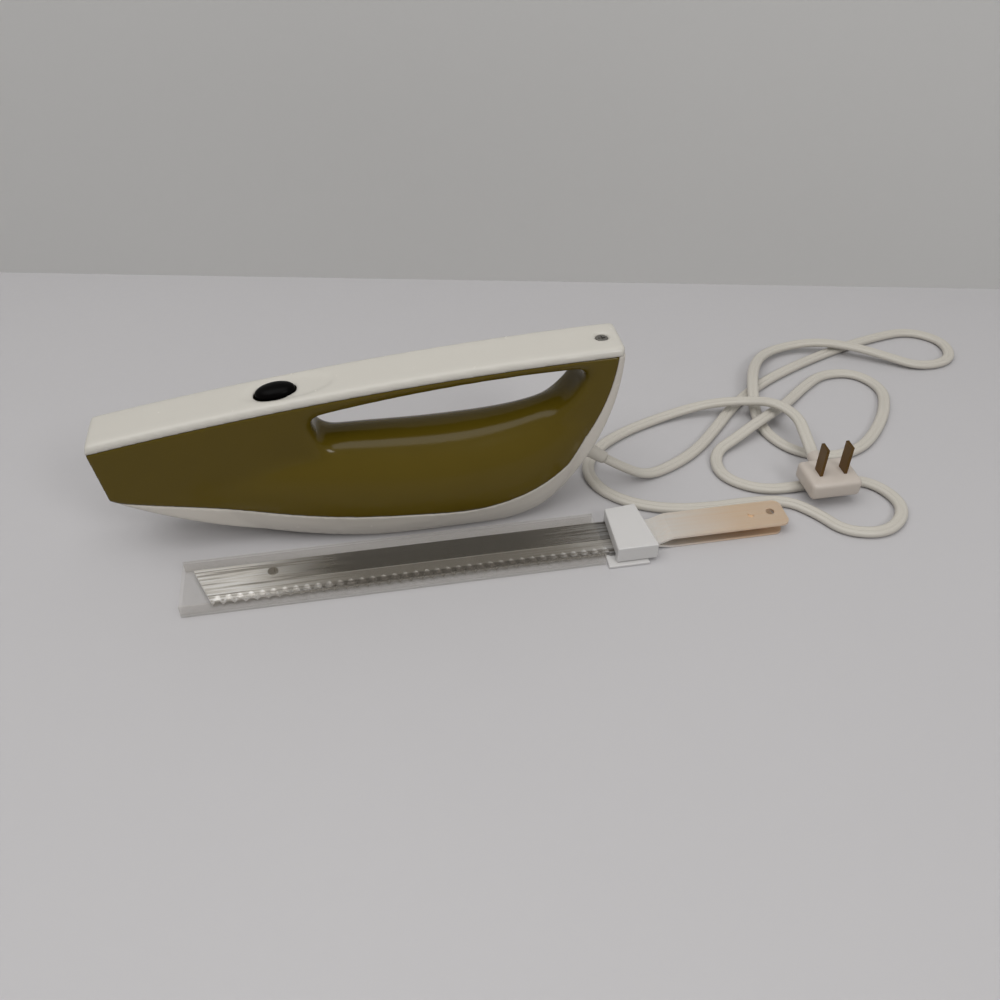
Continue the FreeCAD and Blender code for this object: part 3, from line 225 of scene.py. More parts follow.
# Lines of the stone across the edge and streaks of the polish along the blade, in millimetres, with the
# roughness between which each varies, and how much of the lines' depth shows
STONE_MM, STONE_GLOSSY, STONE_DULL = (0.35, 9, 9), 0.25, 0.55
POLISH_MM, POLISH_GLOSSY, POLISH_DULL = (40, 1.2, 1.2), 0.12, 0.3
STONE_RELIEF = 0.12
# Scuffs with painted glare at the blade's ends: how far they run out in millimetres, how rough they are,
# how much they still mirror, and where along the blade they fade
SCUFF_AND_GLARE_SPREAD = 30
SCUFF_ROUGH = 0.5
SCUFF_METAL = 0.7
SCUFF_AND_GLARE_STOPS = ((0, WHITE), (0.12, WHITE), (0.34, BLACK), (0.7, BLACK), (1, linear("b4b4b4")))
# Tang: the length in millimetres over which it turns from bright to warm, how much the streaks count in its
# warmer tone, and where that begins and is full
TANG_BRIGHT = 45
WARM_STREAKS = 0.5
WARM_FROM, WARM_TO = 0.3, 1.3


def ground_blade(name, tint, edge_y, tip_x, tang_x):
    """Stainless blade: a flank painted dark for its reflection, a bright line, a ground zone with painted
    shade in its tooth hollows, painted glare at the ends, and a warm tang.
    """
    finish, tree, shader = new_finish(name, Metallic=1.0)
    where = add_node(tree, "ShaderNodeTexCoord").outputs["Object"]
    parts = add_node(tree, "ShaderNodeSeparateXYZ", links={"Vector": where})
    band = add_node(tree, "ShaderNodeMapRange", links={"Value": parts.outputs["Y"]},
                    values={"From Min": edge_y, "From Max": edge_y + GRIND_BAND * MM}).outputs["Result"]
    flank = add_node(tree, "ShaderNodeMath", {"operation": "GREATER_THAN"}, values={1: GRIND_SHARE},
                     links={0: band}).outputs["Value"]
    bare = add_node(tree, "ShaderNodeMath", {"operation": "GREATER_THAN"}, values={1: tang_x},
                    links={0: parts.outputs["X"]}).outputs["Value"]
    across = add_node(tree, "ShaderNodeMapping", links={"Vector": where},
                      values={"Scale": [per_metre(g) for g in STONE_MM]})
    lines = add_node(tree, "ShaderNodeTexNoise", links={"Vector": across.outputs["Vector"]},
                     values={"Scale": 1, "Detail": 4}).outputs["Fac"]
    along = add_node(tree, "ShaderNodeMapping", links={"Vector": where},
                     values={"Scale": [per_metre(g) for g in POLISH_MM]})
    streak = add_node(tree, "ShaderNodeTexNoise", links={"Vector": along.outputs["Vector"]},
                      values={"Scale": 1, "Detail": 3}).outputs["Fac"]

    # Scuffs with painted glare, from 1 at the ends to 0 in the middle, with streaky borders
    shift = add_node(tree, "ShaderNodeMath", {"operation": "MULTIPLY_ADD"},
                     values={1: 2 * SCUFF_AND_GLARE_SPREAD * MM}, links={0: streak, 2: parts.outputs["X"]})
    sheen = add_node(tree, "ShaderNodeMapRange", links={"Value": shift.outputs["Value"]},
                     values={"From Min": tip_x + SCUFF_AND_GLARE_SPREAD * MM, "From Max": tang_x + SCUFF_AND_GLARE_SPREAD * MM})
    scuff_and_glare = add_node(tree, "ShaderNodeValToRGB", links={"Fac": sheen.outputs["Result"]},
                     stops=SCUFF_AND_GLARE_STOPS).outputs["Color"]

    # Roughness and metal
    rough_ground = add_node(tree, "ShaderNodeMapRange", links={"Value": lines},
                            values={"To Min": STONE_GLOSSY, "To Max": STONE_DULL})
    rough_polish = add_node(tree, "ShaderNodeMapRange", links={"Value": streak},
                            values={"To Min": POLISH_GLOSSY, "To Max": POLISH_DULL})
    worn = add_node(tree, "ShaderNodeMath", {"operation": "MAXIMUM"}, links={0: scuff_and_glare, 1: bare})
    clean = add_node(tree, "ShaderNodeMix", links={
        "Factor": flank, "A": rough_ground.outputs["Result"], "B": rough_polish.outputs["Result"]})
    gloss = add_node(tree, "ShaderNodeMix", values={"B": SCUFF_ROUGH},
                     links={"Factor": worn.outputs["Value"], "A": clean.outputs["Result"]})
    tree.links.new(gloss.outputs["Result"], shader.inputs["Roughness"])
    # Less metal at the ends, where the painted glare is
    dull = add_node(tree, "ShaderNodeMapRange", links={"Value": scuff_and_glare},
                    values={"To Min": 1.0, "To Max": SCUFF_METAL})
    tree.links.new(dull.outputs["Result"], shader.inputs["Metallic"])

    # Colour of the blade: painted shade in the tooth hollows, the ground zone, a bright line and the flank,
    # painted dark for its reflection, then painted glare at the scuffed ends
    stone = add_node(tree, "ShaderNodeValToRGB", links={"Fac": band}, stops=(
        (0.25, tint.hollow_shade), (0.33, tint.ground), (0.84, tint.ground), (0.87, tint.bright),
        (GRIND_SHARE, tint.mirror))).outputs["Color"]
    # Painted glare at the ends: the ground zone turning bright and white along the polish streaks
    glare = add_node(tree, "ShaderNodeValToRGB", links={"Fac": streak}, stops=(
        (0.38, tint.ground), (0.48, tint.bright), (0.58, WHITE))).outputs["Color"]
    zones = add_node(tree, "ShaderNodeMix", {"data_type": "RGBA"},
                     links={"Factor": scuff_and_glare, "A": stone, "B": glare})

    # Colour of the tang, warmer towards its end
    reach = add_node(tree, "ShaderNodeMapRange", links={"Value": parts.outputs["X"]},
                     values={"From Min": tang_x, "From Max": tang_x + TANG_BRIGHT * MM}).outputs["Result"]
    warm_mix = add_node(tree, "ShaderNodeMath", {"operation": "MULTIPLY_ADD"}, values={1: WARM_STREAKS},
                    links={0: streak, 2: reach})
    warmth = add_node(tree, "ShaderNodeMapRange", links={"Value": warm_mix.outputs["Value"]},
                      values={"From Min": WARM_FROM, "From Max": WARM_TO}).outputs["Result"]
    tang = add_node(tree, "ShaderNodeMix", {"data_type": "RGBA"}, links={"Factor": warmth},
                    values={"A": opaque(tint.bright), "B": opaque(tint.tang)})
    tone = add_node(tree, "ShaderNodeMix", {"data_type": "RGBA"},
                    links={"Factor": bare, "A": zones.outputs["Result"], "B": tang.outputs["Result"]})
    tree.links.new(tone.outputs["Result"], shader.inputs["Base Color"])
    relief = add_node(tree, "ShaderNodeBump", links={"Height": lines},
                      values={"Strength": STONE_RELIEF, "Distance": GRAIN_DEEP_MM * MM})
    tree.links.new(relief.outputs["Normal"], shader.inputs["Normal"])
    return finish


# Sheath: its folded sides' width in millimetres and haze, its drawn streaks and their haze, and its rim
VINYL_IOR, VINYL_ROUGH = 1.5, 0.06
VINYL_TONE = "b9b2a6"
FOLD_WIDE, FOLD_HAZE = 1.4, 0.22
DRAWN_MM, DRAWN_HAZE = (60, 1.5, 1.5), 0.03
RIM_BLEND, RIM_HAZE = 0.3, 0.12


def clear_sheet(name, middle_y, half):
    """Drawn clear vinyl: nearly invisible face on, denser at its folded sides, with faint streaks."""
    finish, tree, shader = new_finish(name, IOR=VINYL_IOR, Roughness=VINYL_ROUGH)
    shader.inputs["Base Color"].default_value = opaque(linear(VINYL_TONE))
    where = add_node(tree, "ShaderNodeTexCoord").outputs["Object"]
    parts = add_node(tree, "ShaderNodeSeparateXYZ", links={"Vector": where})
    off = add_node(tree, "ShaderNodeMath", {"operation": "SUBTRACT"}, values={1: middle_y},
                   links={0: parts.outputs["Y"]})
    apart = add_node(tree, "ShaderNodeMath", {"operation": "ABSOLUTE"}, links={0: off.outputs["Value"]})
    fold = add_node(tree, "ShaderNodeMapRange", links={"Value": apart.outputs["Value"]},
                    values={"From Min": half - FOLD_WIDE * MM, "From Max": half, "To Max": FOLD_HAZE})
    drawn = add_node(tree, "ShaderNodeMapping", links={"Vector": where},
                     values={"Scale": [per_metre(g) for g in DRAWN_MM]})
    streak = add_node(tree, "ShaderNodeTexNoise", links={"Vector": drawn.outputs["Vector"]},
                      values={"Scale": 1, "Detail": 3}).outputs["Fac"]
    haze = add_node(tree, "ShaderNodeMapRange", links={"Value": streak},
                    values={"To Min": 0.0, "To Max": DRAWN_HAZE})
    glance = add_node(tree, "ShaderNodeLayerWeight", values={"Blend": RIM_BLEND}).outputs["Fresnel"]
    rim = add_node(tree, "ShaderNodeMath", {"operation": "MULTIPLY_ADD"}, values={1: RIM_HAZE},
                   links={0: glance, 2: haze.outputs["Result"]})
    dense = add_node(tree, "ShaderNodeMath", {"operation": "ADD"},
                     links={0: rim.outputs["Value"], 1: fold.outputs["Result"]})
    tree.links.new(dense.outputs["Value"], shader.inputs["Alpha"])
    return finish


# Modelling helpers

def deselect():
    if bpy.context.object and bpy.context.object.mode != "OBJECT":
        bpy.ops.object.mode_set(mode="OBJECT")
    bpy.ops.object.select_all(action="DESELECT")


def pick(piece):
    deselect()
    piece.select_set(True)
    bpy.context.view_layer.objects.active = piece


def apply_place():
    """Puts the picked piece's place, turn and size into its mesh."""
    bpy.ops.object.transform_apply(location=True, rotation=True, scale=True)


def paint(piece, finish):
    piece.data.materials.clear()
    piece.data.materials.append(finish)


def apply_modifier(piece, kind, **settings):
    """Adds a modifier to the picked piece and applies it."""
    bpy.ops.object.modifier_add(type=kind)
    modifier = piece.modifiers[-1]
    for name, value in settings.items():
        setattr(modifier, name, value)
    bpy.ops.object.modifier_apply(modifier=modifier.name)


def stand_for(piece, node, body, finish):
    """Has a dressed piece take a node's place."""
    paint(piece, finish)
    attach(piece, body)
    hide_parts(node)


# Distance in metres within which a solid's loose facets are joined
WELD = 0.00001


def merged_copy(name, node):
    """A picked copy of a solid with its facets joined."""
    pick(nodes[node])
    bpy.ops.object.duplicate()
    piece = bpy.context.object
    piece.name = name
    for key in [key for key in piece.keys() if key.startswith("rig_")]:
        del piece[key]
    pick(piece)
    bpy.ops.object.mode_set(mode="EDIT")
    bpy.ops.mesh.select_all(action="SELECT")
    bpy.ops.mesh.remove_doubles(threshold=WELD)
    bpy.ops.object.mode_set(mode="OBJECT")
    return piece


# Bends up to which facets count as one face, from which an edge is rounded, and up to which it shades
# smooth
FLAT_BEND, EDGE_BEND, SMOOTH_BEND = (math.radians(angle) for angle in (1, 40, 32))


def smooth_copy(name, node, body, finish, edge=0.0):
    """A copy of a solid with its edges rounded if asked, and shaded smooth."""
    piece = merged_copy(name, node)
    if edge:
        bpy.ops.object.mode_set(mode="EDIT")
        bpy.ops.mesh.dissolve_limited(angle_limit=FLAT_BEND)
        bpy.ops.object.mode_set(mode="OBJECT")
        apply_modifier(piece, "BEVEL", width=edge, segments=3, limit_method="ANGLE",
                       angle_limit=EDGE_BEND)
    bpy.ops.object.shade_smooth_by_angle(angle=SMOOTH_BEND)
    apply_modifier(piece, "WEIGHTED_NORMAL", keep_sharp=True)
    stand_for(piece, node, body, finish)


# Casing

# Halvings of the box that set the mesh on the casing, about 0.9 mm, the share of the box that the casing
# fills, and the rounds that take off its edges
SKIN_DEPTH = 8
SKIN_SCALE = 0.99
SKIN_ROUNDS = 2
# Rounds that soften the bends off the seams
SHELL_SOFT, COVER_SOFT = 50, 12
# Lower seam, in millimetres: the step between its stations, the places where its move sets in, is full,
# begins to fade and ends, the height of its rim, and how far off it the skin still follows
SEAM_STEP = 2
SEAM_SPAN = (-118, -96, 52, 74)
SEAM_RIM = 0.4
SEAM_REACH = 14
# Stations kept beyond the span, and the rounds that even the seam out
SEAM_SPARE = 3
SEAM_ROUNDS = 60


def off_seams(piece, others, front):
    """Selects the vertices behind the front that lie off the neighbouring solids."""
    for face in piece.data.polygons:
        face.select = False
    for edge in piece.data.edges:
        edge.select = False
    gap = sizes().seam_room
    trees = []
    for other in others:
        mesh = nodes[other].data
        trees.append(BVHTree.FromPolygons(
            [vertex.co for vertex in mesh.vertices], [face.vertices for face in mesh.polygons]))
    for vertex in piece.data.vertices:
        near = [tree.find_nearest(vertex.co, gap)[0] for tree in trees]
        vertex.select = vertex.co.x > front and not any(near)


def ease(value):
    """A soft step from 0 to 1."""
    value = min(max(value, 0), 1)
    return value * value * (3 - 2 * value)


def shell_cuts():
    """Heights and half widths of the side shell's facets where each station cuts them."""
    mesh = nodes["side_shell"].data
    step = SEAM_STEP * MM
    cuts = {}
    for edge in mesh.edges:
        near, far = sorted((mesh.vertices[i].co for i in edge.vertices), key=lambda spot: spot.x)
        for station in range(math.ceil(near.x / step), math.floor(far.x / step) + 1):
            share = (station * step - near.x) / max(far.x - near.x, 1e-9)
            spot = near.lerp(far, share)
            cuts.setdefault(station, []).append((spot.z, abs(spot.y)))
    return cuts


def seam_line():
    """The lower seam's half width and height at each station, and how far both move."""
    first, full, fade, last = SEAM_SPAN
    cuts = shell_cuts()
    stations = range(first // SEAM_STEP - SEAM_SPARE, last // SEAM_STEP + SEAM_SPARE + 1)
    raw = []
    for station in stations:
        rim = min(cuts[station])[0]
        raw.append((max(wide for height, wide in cuts[station] if height < rim + SEAM_RIM * MM), rim))
    even = list(raw)
    for _ in range(SEAM_ROUNDS):
        inner = [tuple((a + 2 * b + c) / 4 for a, b, c in zip(*even[i - 1:i + 2]))
                 for i in range(1, len(even) - 1)]
        even = [even[0]] + inner + [even[-1]]
    line = {}
    for station, before, after in zip(stations, raw, even):
        x = station * SEAM_STEP
        share = ease((x - first) / (full - first)) * ease((last - x) / (last - fade))
        line[station] = before + tuple(share * (b - a) for a, b in zip(before, after))
    return line


def even_seam(piece, line):
    """Moves the skin along the lower seam so that the seam runs in one sweep."""
    for vertex in piece.data.vertices:
        where = vertex.co.x / (SEAM_STEP * MM)
        station = math.floor(where)
        if station not in line or station + 1 not in line:
            continue
        share = where - station
        wide, height, out, up = [a + share * (b - a) for a, b in zip(line[station], line[station + 1])]
        off = math.hypot(abs(vertex.co.y) - wide, vertex.co.z - height)
        pull = ease(1 - off / (SEAM_REACH * MM))
        vertex.co.y += math.copysign(out * pull, vertex.co.y)
        vertex.co.z += up * pull


def moulded_skin(name, node, finish, soft=0, others=(), front=-1.0, seam=None):
    """A copy of a moulding on an even grid, with rounded edges and, if asked, softer bends."""
    piece = merged_copy(name, node)
    apply_modifier(piece, "REMESH", mode="SHARP", octree_depth=SKIN_DEPTH, scale=SKIN_SCALE,
                   use_remove_disconnected=False)
    if soft:
        off_seams(piece, others, front)
        bpy.ops.object.mode_set(mode="EDIT")
        bpy.ops.mesh.vertices_smooth(factor=0.5, repeat=soft)
        bpy.ops.object.mode_set(mode="OBJECT")
    if seam:
        even_seam(piece, seam)
    apply_modifier(piece, "SMOOTH", factor=0.5, iterations=SKIN_ROUNDS)
    bpy.ops.object.shade_smooth()
    stand_for(piece, node, "housing", finish)


class KNIFE_OT_casing(bpy.types.Operator):
    """Finish the casing and its screws"""

    bl_idname = "knife.casing"
    bl_label = "Casing"

    def execute(self, context):
        tint = colours()
        seam = seam_line()
        # Deep green with a wet gloss that shows only in its highlights
        green = moulded_plastic("green_gloss_abs", tint.shell, roughness=0.16, shine=0.18)
        moulded_skin("green_side_shell", "side_shell", green, soft=SHELL_SOFT,
                     others=("top_cover", "bottom_cover"),
                     front=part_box("side_shell")[0].x + sizes().nose_room, seam=seam)
        # Pale, with a gloss that spreads its highlights more
        cream = moulded_plastic("cream_gloss_abs", tint.cover, roughness=0.24, shade=0.96)
        moulded_skin("cream_top_cover", "top_cover", cream, soft=COVER_SOFT,
                     others=("side_shell",))
        white = moulded_plastic("white_gloss_abs", tint.belly, roughness=0.24, shade=0.97)
        moulded_skin("white_bottom_cover", "bottom_cover", white, seam=seam)
        # Plated screws gone dull
        screw = metal("screw_steel", linear("8d8a85"), roughness=0.35)
        for node in ("cover_screw", "base_screws"):
            paint(nodes[node], screw)
        return {"FINISHED"}


# The domed button in millimetres, the sine of its lean with the cover, how far it sinks below the
# solid's top, and the bend up to which it shades smooth
BUTTON_LONG, BUTTON_WIDE, BUTTON_DOME, BUTTON_SKIRT = 18, 11, 3.2, 1.2
BUTTON_LEAN = 0.1219
BUTTON_SUNK = 4.6
BUTTON_BEND = math.radians(60)


class KNIFE_OT_button(bpy.types.Operator):
    """Model the domed push button, and give its spring a mesh of its own"""

    bl_idname = "knife.button"
    bl_label = "Button"

    def execute(self, context):
        low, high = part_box("switch_button")
        deselect()
        bpy.ops.mesh.primitive_uv_sphere_add(segments=48, ring_count=24, radius=0.5)
        button = context.object
        button.name = "black_push_button"
        bpy.ops.transform.resize(value=(BUTTON_LONG * MM, BUTTON_WIDE * MM, 2 * BUTTON_DOME * MM))
        apply_place()
        bpy.ops.object.mode_set(mode="EDIT")
        bpy.ops.mesh.select_all(action="SELECT")
        bpy.ops.mesh.bisect(plane_co=(0, 0, 0), plane_no=(0, 0, 1), clear_inner=True)
        bpy.ops.mesh.extrude_region_move(TRANSFORM_OT_translate={"value": (0, 0, -BUTTON_SKIRT * MM)})
        bpy.ops.mesh.edge_face_add()
        bpy.ops.mesh.select_all(action="SELECT")
        bpy.ops.mesh.normals_make_consistent(inside=False)
        bpy.ops.object.mode_set(mode="OBJECT")
        button.rotation_euler = (0, -math.asin(BUTTON_LEAN), 0)
        button.location = ((low.x + high.x) / 2, 0, high.z - BUTTON_SUNK * MM)
        apply_place()
        bpy.ops.object.shade_smooth_by_angle(angle=BUTTON_BEND)
        # Black with hardly a highlight
        nylon = moulded_plastic("black_satin_nylon", colours().button, roughness=0.3, cloud_mm=6, bump=0.1,
                                shine=0.04)
        stand_for(button, "switch_button", "button", nylon)
        spring = nodes["switch_spring"]
        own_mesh(spring)
        return {"FINISHED"}


class KNIFE_OT_blades(bpy.types.Operator):
    """Finish the blade pair, its guard and its sheath"""

    bl_idname = "knife.blades"
    bl_label = "Blades and sheath"

    def execute(self, context):
        tint = colours()
        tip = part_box("upper_blade")[0]
        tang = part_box("upper_guard")[1].x
        steel = ground_blade("ground_stainless_steel", tint, tip.y, tip.x, tang)
        for node in ("upper_blade", "lower_blade"):
            paint(nodes[node], steel)
        paint(nodes["blade_rivet"], metal("rivet_steel", tint.ground, roughness=0.3))
        # White, and duller than the casing
        guard = moulded_plastic("white_guard_abs", tint.guard, roughness=0.34, shade=0.97)
        edge = sizes().guard_edge
        smooth_copy("white_blade_guard", "upper_guard", "blade_set", guard, edge=edge)
        smooth_copy("white_guard_lip", "lower_guard", "lower_blade_set", guard,
                    edge=edge / 2)
        near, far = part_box("blade_sheath")
        vinyl = clear_sheet("clear_drawn_vinyl", (near.y + far.y) / 2, (far.y - near.y) / 2)
        paint(nodes["blade_sheath"], vinyl)
        return {"FINISHED"}


# Cord and plug

# Heights of the cord's middle on the floor and over a crossing, its exit and its route, in millimetres
FLOOR, OVER = 2.0, 7.4
CORD_EXIT = (106, 0, 19)
CORD_ROUTE = (
    CORD_EXIT, (116.4, 0, 11.2), (131, 2, FLOOR), (147, 8, FLOOR), (163, 18, FLOOR), (179, 34, FLOOR),
    (197, 54, FLOOR), (220, 72, FLOOR), (249, 87, FLOOR), (280, 99.5, FLOOR), (309, 108, FLOOR),
    (333, 111.5, FLOOR), (349.5, 96, FLOOR), (343, 75.5, FLOOR), (321, 72, FLOOR), (303, 82, 5.2),
    (288, 91, OVER), (269, 101, OVER), (251, 105, 4.4), (232, 99, 4.4), (218, 81, OVER),
    (209, 58, OVER), (205, 40, FLOOR), (206, 22, FLOOR), (215, 7, FLOOR), (232, 0, FLOOR),
    (250, 4, FLOOR), (266, 18, FLOOR), (280, 36, FLOOR), (288, 55, FLOOR), (279, 73, FLOOR),
    (259, 75, FLOOR), (242, 63, FLOOR), (227, 50, 2.4), (213, 37, OVER), (200, 29, OVER),
    (187, 22, 4.6), (171, 14, FLOOR), (168, -5.5, FLOOR), (184, -19, FLOOR), (204, -20, FLOOR),
    (224, -17, FLOOR), (244, -23, FLOOR), (251, -44, FLOOR), (235, -60, FLOOR), (213.5, -56, FLOOR),
    (205.5, -41, FLOOR), (194.5, -29, FLOOR), (176.5, -26.8, FLOOR), (155, -27.4, FLOOR),
    (134, -25, FLOOR), (115, -16.5, FLOOR), (103, -3, FLOOR), (101, 14, FLOOR), (111, 29, FLOOR),
    (128, 40, FLOOR), (148, 48, FLOOR), (168, 52, 4.2), (184, 51, OVER), (200, 46, 10.2),
    (212, 37, 14.3), (219.5, 23, 14.2), (218, 8, 12.4), (216, -7, 10.55),
)
# Steps between two places of the route, and the bends up to which cord and plug shade smooth
CORD_STEPS = 10
CORD_BEND, PLUG_BEND = math.radians(50), math.radians(40)
# The boot's radius at the plug and at the cord, as shares of half the plug's height
BOOT_ROOT, BOOT_NECK = 0.95, 0.7


def route_line():
    """The smooth line through the cord's route, as points in metres."""
    data = bpy.data.curves.new("cord_line", "CURVE")
    data.dimensions = "3D"
    data.resolution_u = CORD_STEPS
    spline = data.splines.new("NURBS")
    spline.points.add(len(CORD_ROUTE) - 1)
    for point, spot in zip(spline.points, CORD_ROUTE):
        point.co = [c * MM for c in spot] + [1]
    spline.order_u = 3
    spline.use_endpoint_u = True
    guide = bpy.data.objects.new("cord_line", data)
    bpy.context.scene.collection.objects.link(guide)
    bpy.context.view_layer.update()
    mesh = bpy.data.meshes.new_from_object(guide)
    line = [v.co.copy() for v in mesh.vertices]
    bpy.data.meshes.remove(mesh)
    bpy.data.objects.remove(guide)
    bpy.data.curves.remove(data)
    return line


def twin_section(wide, tall, steps=9):
    """Two round conductors side by side, with a groove between them."""
    radius = tall / 2
    offset = wide / 2 - radius
    reach = math.pi - math.acos(offset / radius)
    ring = []
    for way, start in ((1, 0), (-1, math.pi)):
        for step in range(steps):
            turn = start - reach + 2 * reach * step / (steps - 1)
            ring.append((way * offset + radius * math.cos(turn), radius * math.sin(turn)))
    return ring


class KNIFE_OT_plug(bpy.types.Operator):
    """Model the plug's soft body with its tapered boot, and finish its prongs"""

    bl_idname = "knife.plug"
    bl_label = "Plug"

    def execute(self, context):
        low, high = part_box("plug_body")
        boot_long = sizes().boot_long
        back = high.y - boot_long
        middle = Vector(((low.x + high.x) / 2, (low.y + back) / 2, (low.z + high.z) / 2))
        deselect()
        bpy.ops.mesh.primitive_cube_add(size=1, location=middle)
        block = context.object
        bpy.ops.transform.resize(value=(high.x - low.x, back - low.y, high.z - low.z))
        apply_place()
        apply_modifier(block, "BEVEL", width=sizes().plug_edge, segments=5, limit_method="NONE")
        half = (high.z - low.z) / 2
        deselect()
        bpy.ops.mesh.primitive_cone_add(
            vertices=40, radius1=BOOT_ROOT * half, radius2=BOOT_NECK * half, depth=boot_long,
            location=(middle.x, high.y - boot_long / 2, middle.z), rotation=(math.radians(-90), 0, 0))
        boot = context.object
        pick(block)
        boot.select_set(True)
        bpy.ops.object.join()
        apply_place()
        block.name = "soft_plug"
        bpy.ops.object.shade_smooth_by_angle(angle=PLUG_BEND)
        # Soft white vinyl, a little pinker and duller than the casing
        vinyl = moulded_plastic("white_plug_vinyl", colours().plug, roughness=0.36, shade=0.96)
        stand_for(block, "plug_body", "housing", vinyl)
        # Brown, tarnished brass
        paint(nodes["plug_prongs"], metal("aged_brass", colours().brass, roughness=0.34))
        return {"FINISHED"}


class KNIFE_OT_cord(bpy.types.Operator):
    """Lay the flat twin cord along its route"""

    bl_idname = "knife.cord"
    bl_label = "Cord"

    def execute(self, context):
        line = route_line()
        ring = twin_section(sizes().cord_wide, sizes().cord_tall)
        points, faces = [], []
        for index, spot in enumerate(line):
            ahead = line[min(index + 1, len(line) - 1)] - line[max(index - 1, 0)]
            ahead.normalize()
            rise = (Vector((0, 0, 1)) - ahead * ahead.z).normalized()
            across = ahead.cross(rise)
            points += [spot + across * x + rise * z for x, z in ring]
        count = len(ring)
        for index in range(len(line) - 1):
            low = index * count
            for side in range(count):
                after = (side + 1) % count
                faces.append((low + side, low + after, low + count + after, low + count + side))
        faces.append(tuple(reversed(range(count))))
        faces.append(tuple(range(len(points) - count, len(points))))
        mesh = bpy.data.meshes.new("twin_cord")
        mesh.from_pydata(points, [], faces)
        piece = bpy.data.objects.new("twin_cord", mesh)
        context.scene.collection.objects.link(piece)
        pick(piece)
        bpy.ops.object.mode_set(mode="EDIT")
        bpy.ops.mesh.select_all(action="SELECT")
        bpy.ops.mesh.normals_make_consistent(inside=False)
        bpy.ops.object.mode_set(mode="OBJECT")
        bpy.ops.object.shade_smooth_by_angle(angle=CORD_BEND)
        # Soft vinyl: a low sheen along the two conductors
        vinyl = moulded_plastic("soft_cord_vinyl", colours().cord, roughness=0.38, cloud_mm=30, shade=0.94)
        stand_for(piece, "power_cord", "housing", vinyl)
        smooth_copy("soft_strain_relief", "strain_relief", "housing", vinyl)
        return {"FINISHED"}


class KNIFE_OT_works(bpy.types.Operator):
    """Finish the motor, the drive and the switch inside"""

    bl_idname = "knife.works"
    bl_label = "Inner works"

    def execute(self, context):
        finishes = (
            # Turned and drawn steel, bright
            (metal("bright_steel", linear("b4b4b2"), roughness=0.28),
             ("armature_shaft", "gear_axle", "left_driver", "right_driver", "switch_spring",
              "brush_springs")),
            # Stacked sheets, grey, with lines across the shaft
            (metal("core_laminations", linear("6b6a68"), roughness=0.45, grain_mm=(0.5, 20, 20)),
             ("field_stack", "armature_core")),
            # Varnished wire, red-brown
            (metal("enamelled_copper", linear("a5562c"), roughness=0.3, grain_mm=(6, 0.6, 6)),
             ("field_coils", "armature_windings", "commutator")),
            # Pressed powder, matt
            (metal("sintered_bronze", linear("93683a"), roughness=0.5, grain_mm=(1, 1, 1)),
             ("front_bearing", "rear_bearing", "nose_bearing")),
            # Die-cast, grey and matt
            (metal("cast_zinc", linear("a3a3a1"), roughness=0.5, grain_mm=(1.5, 1.5, 1.5)),
             ("front_bracket", "rear_bracket", "gear_frame")),
            # Yellow and fairly bright
            (metal("holder_brass", linear("b08d4a"), roughness=0.3), ("brush_holders",)),
            # Near black, dull
            (moulded_plastic("dark_moulding", linear("2a2826"), roughness=0.45),
             ("switch_body", "cooling_fan", "drive_gear", "nose_guide")),
            # Black and matt, finely speckled
            (moulded_plastic("pressed_carbon", linear("1c1c1d"), roughness=0.6, cloud_mm=1),
             ("carbon_brushes",)),
        )
        for finish, members in finishes:
            for node in members:
                paint(nodes[node], finish)
        return {"FINISHED"}


# Studio

# In metres: the wall's foot, half the side of the floor and the wall, and the floor behind the wall for
# the views from there
WALL_LINE = (Vector((-0.247, 0.296, 0)), Vector((0.4234, 0.1538, 0)))
STAGE_HALF = 3.0
FLOOR_BEHIND = 1.5
# Light from all round
SKY_LIGHT = 0.32
# Camera at the photo's place, with its tilt and turn, its sensor and lens in millimetres, and the
# distance in metres from which it sees
CAMERA_PLACE = (-0.0104, -0.3616, 0.3179)
CAMERA_TURN = (math.radians(49), 0, math.radians(-10))
CAMERA_SENSOR, CAMERA_LENS = 36, 34.56
CAMERA_NEAR = 0.01


def one_sided(finish):
    """Has only the wall's front painted, so that it doesn't hide the knife in views from behind it."""
    tree = finish.node_tree
    back = add_node(tree, "ShaderNodeNewGeometry").outputs["Backfacing"]
    front = add_node(tree, "ShaderNodeMath", {"operation": "SUBTRACT"}, values={0: 1}, links={1: back})
    tree.links.new(front.outputs["Value"], tree.nodes["Principled BSDF"].inputs["Alpha"])
    return finish


def backdrop(name, place, turn, finish):
    """A large painted plane."""
    deselect()
    bpy.ops.mesh.primitive_plane_add(size=2 * STAGE_HALF, location=place, rotation=turn)
    plane = bpy.context.object
    plane.name = name
    apply_place()
    paint(plane, finish)
    return plane


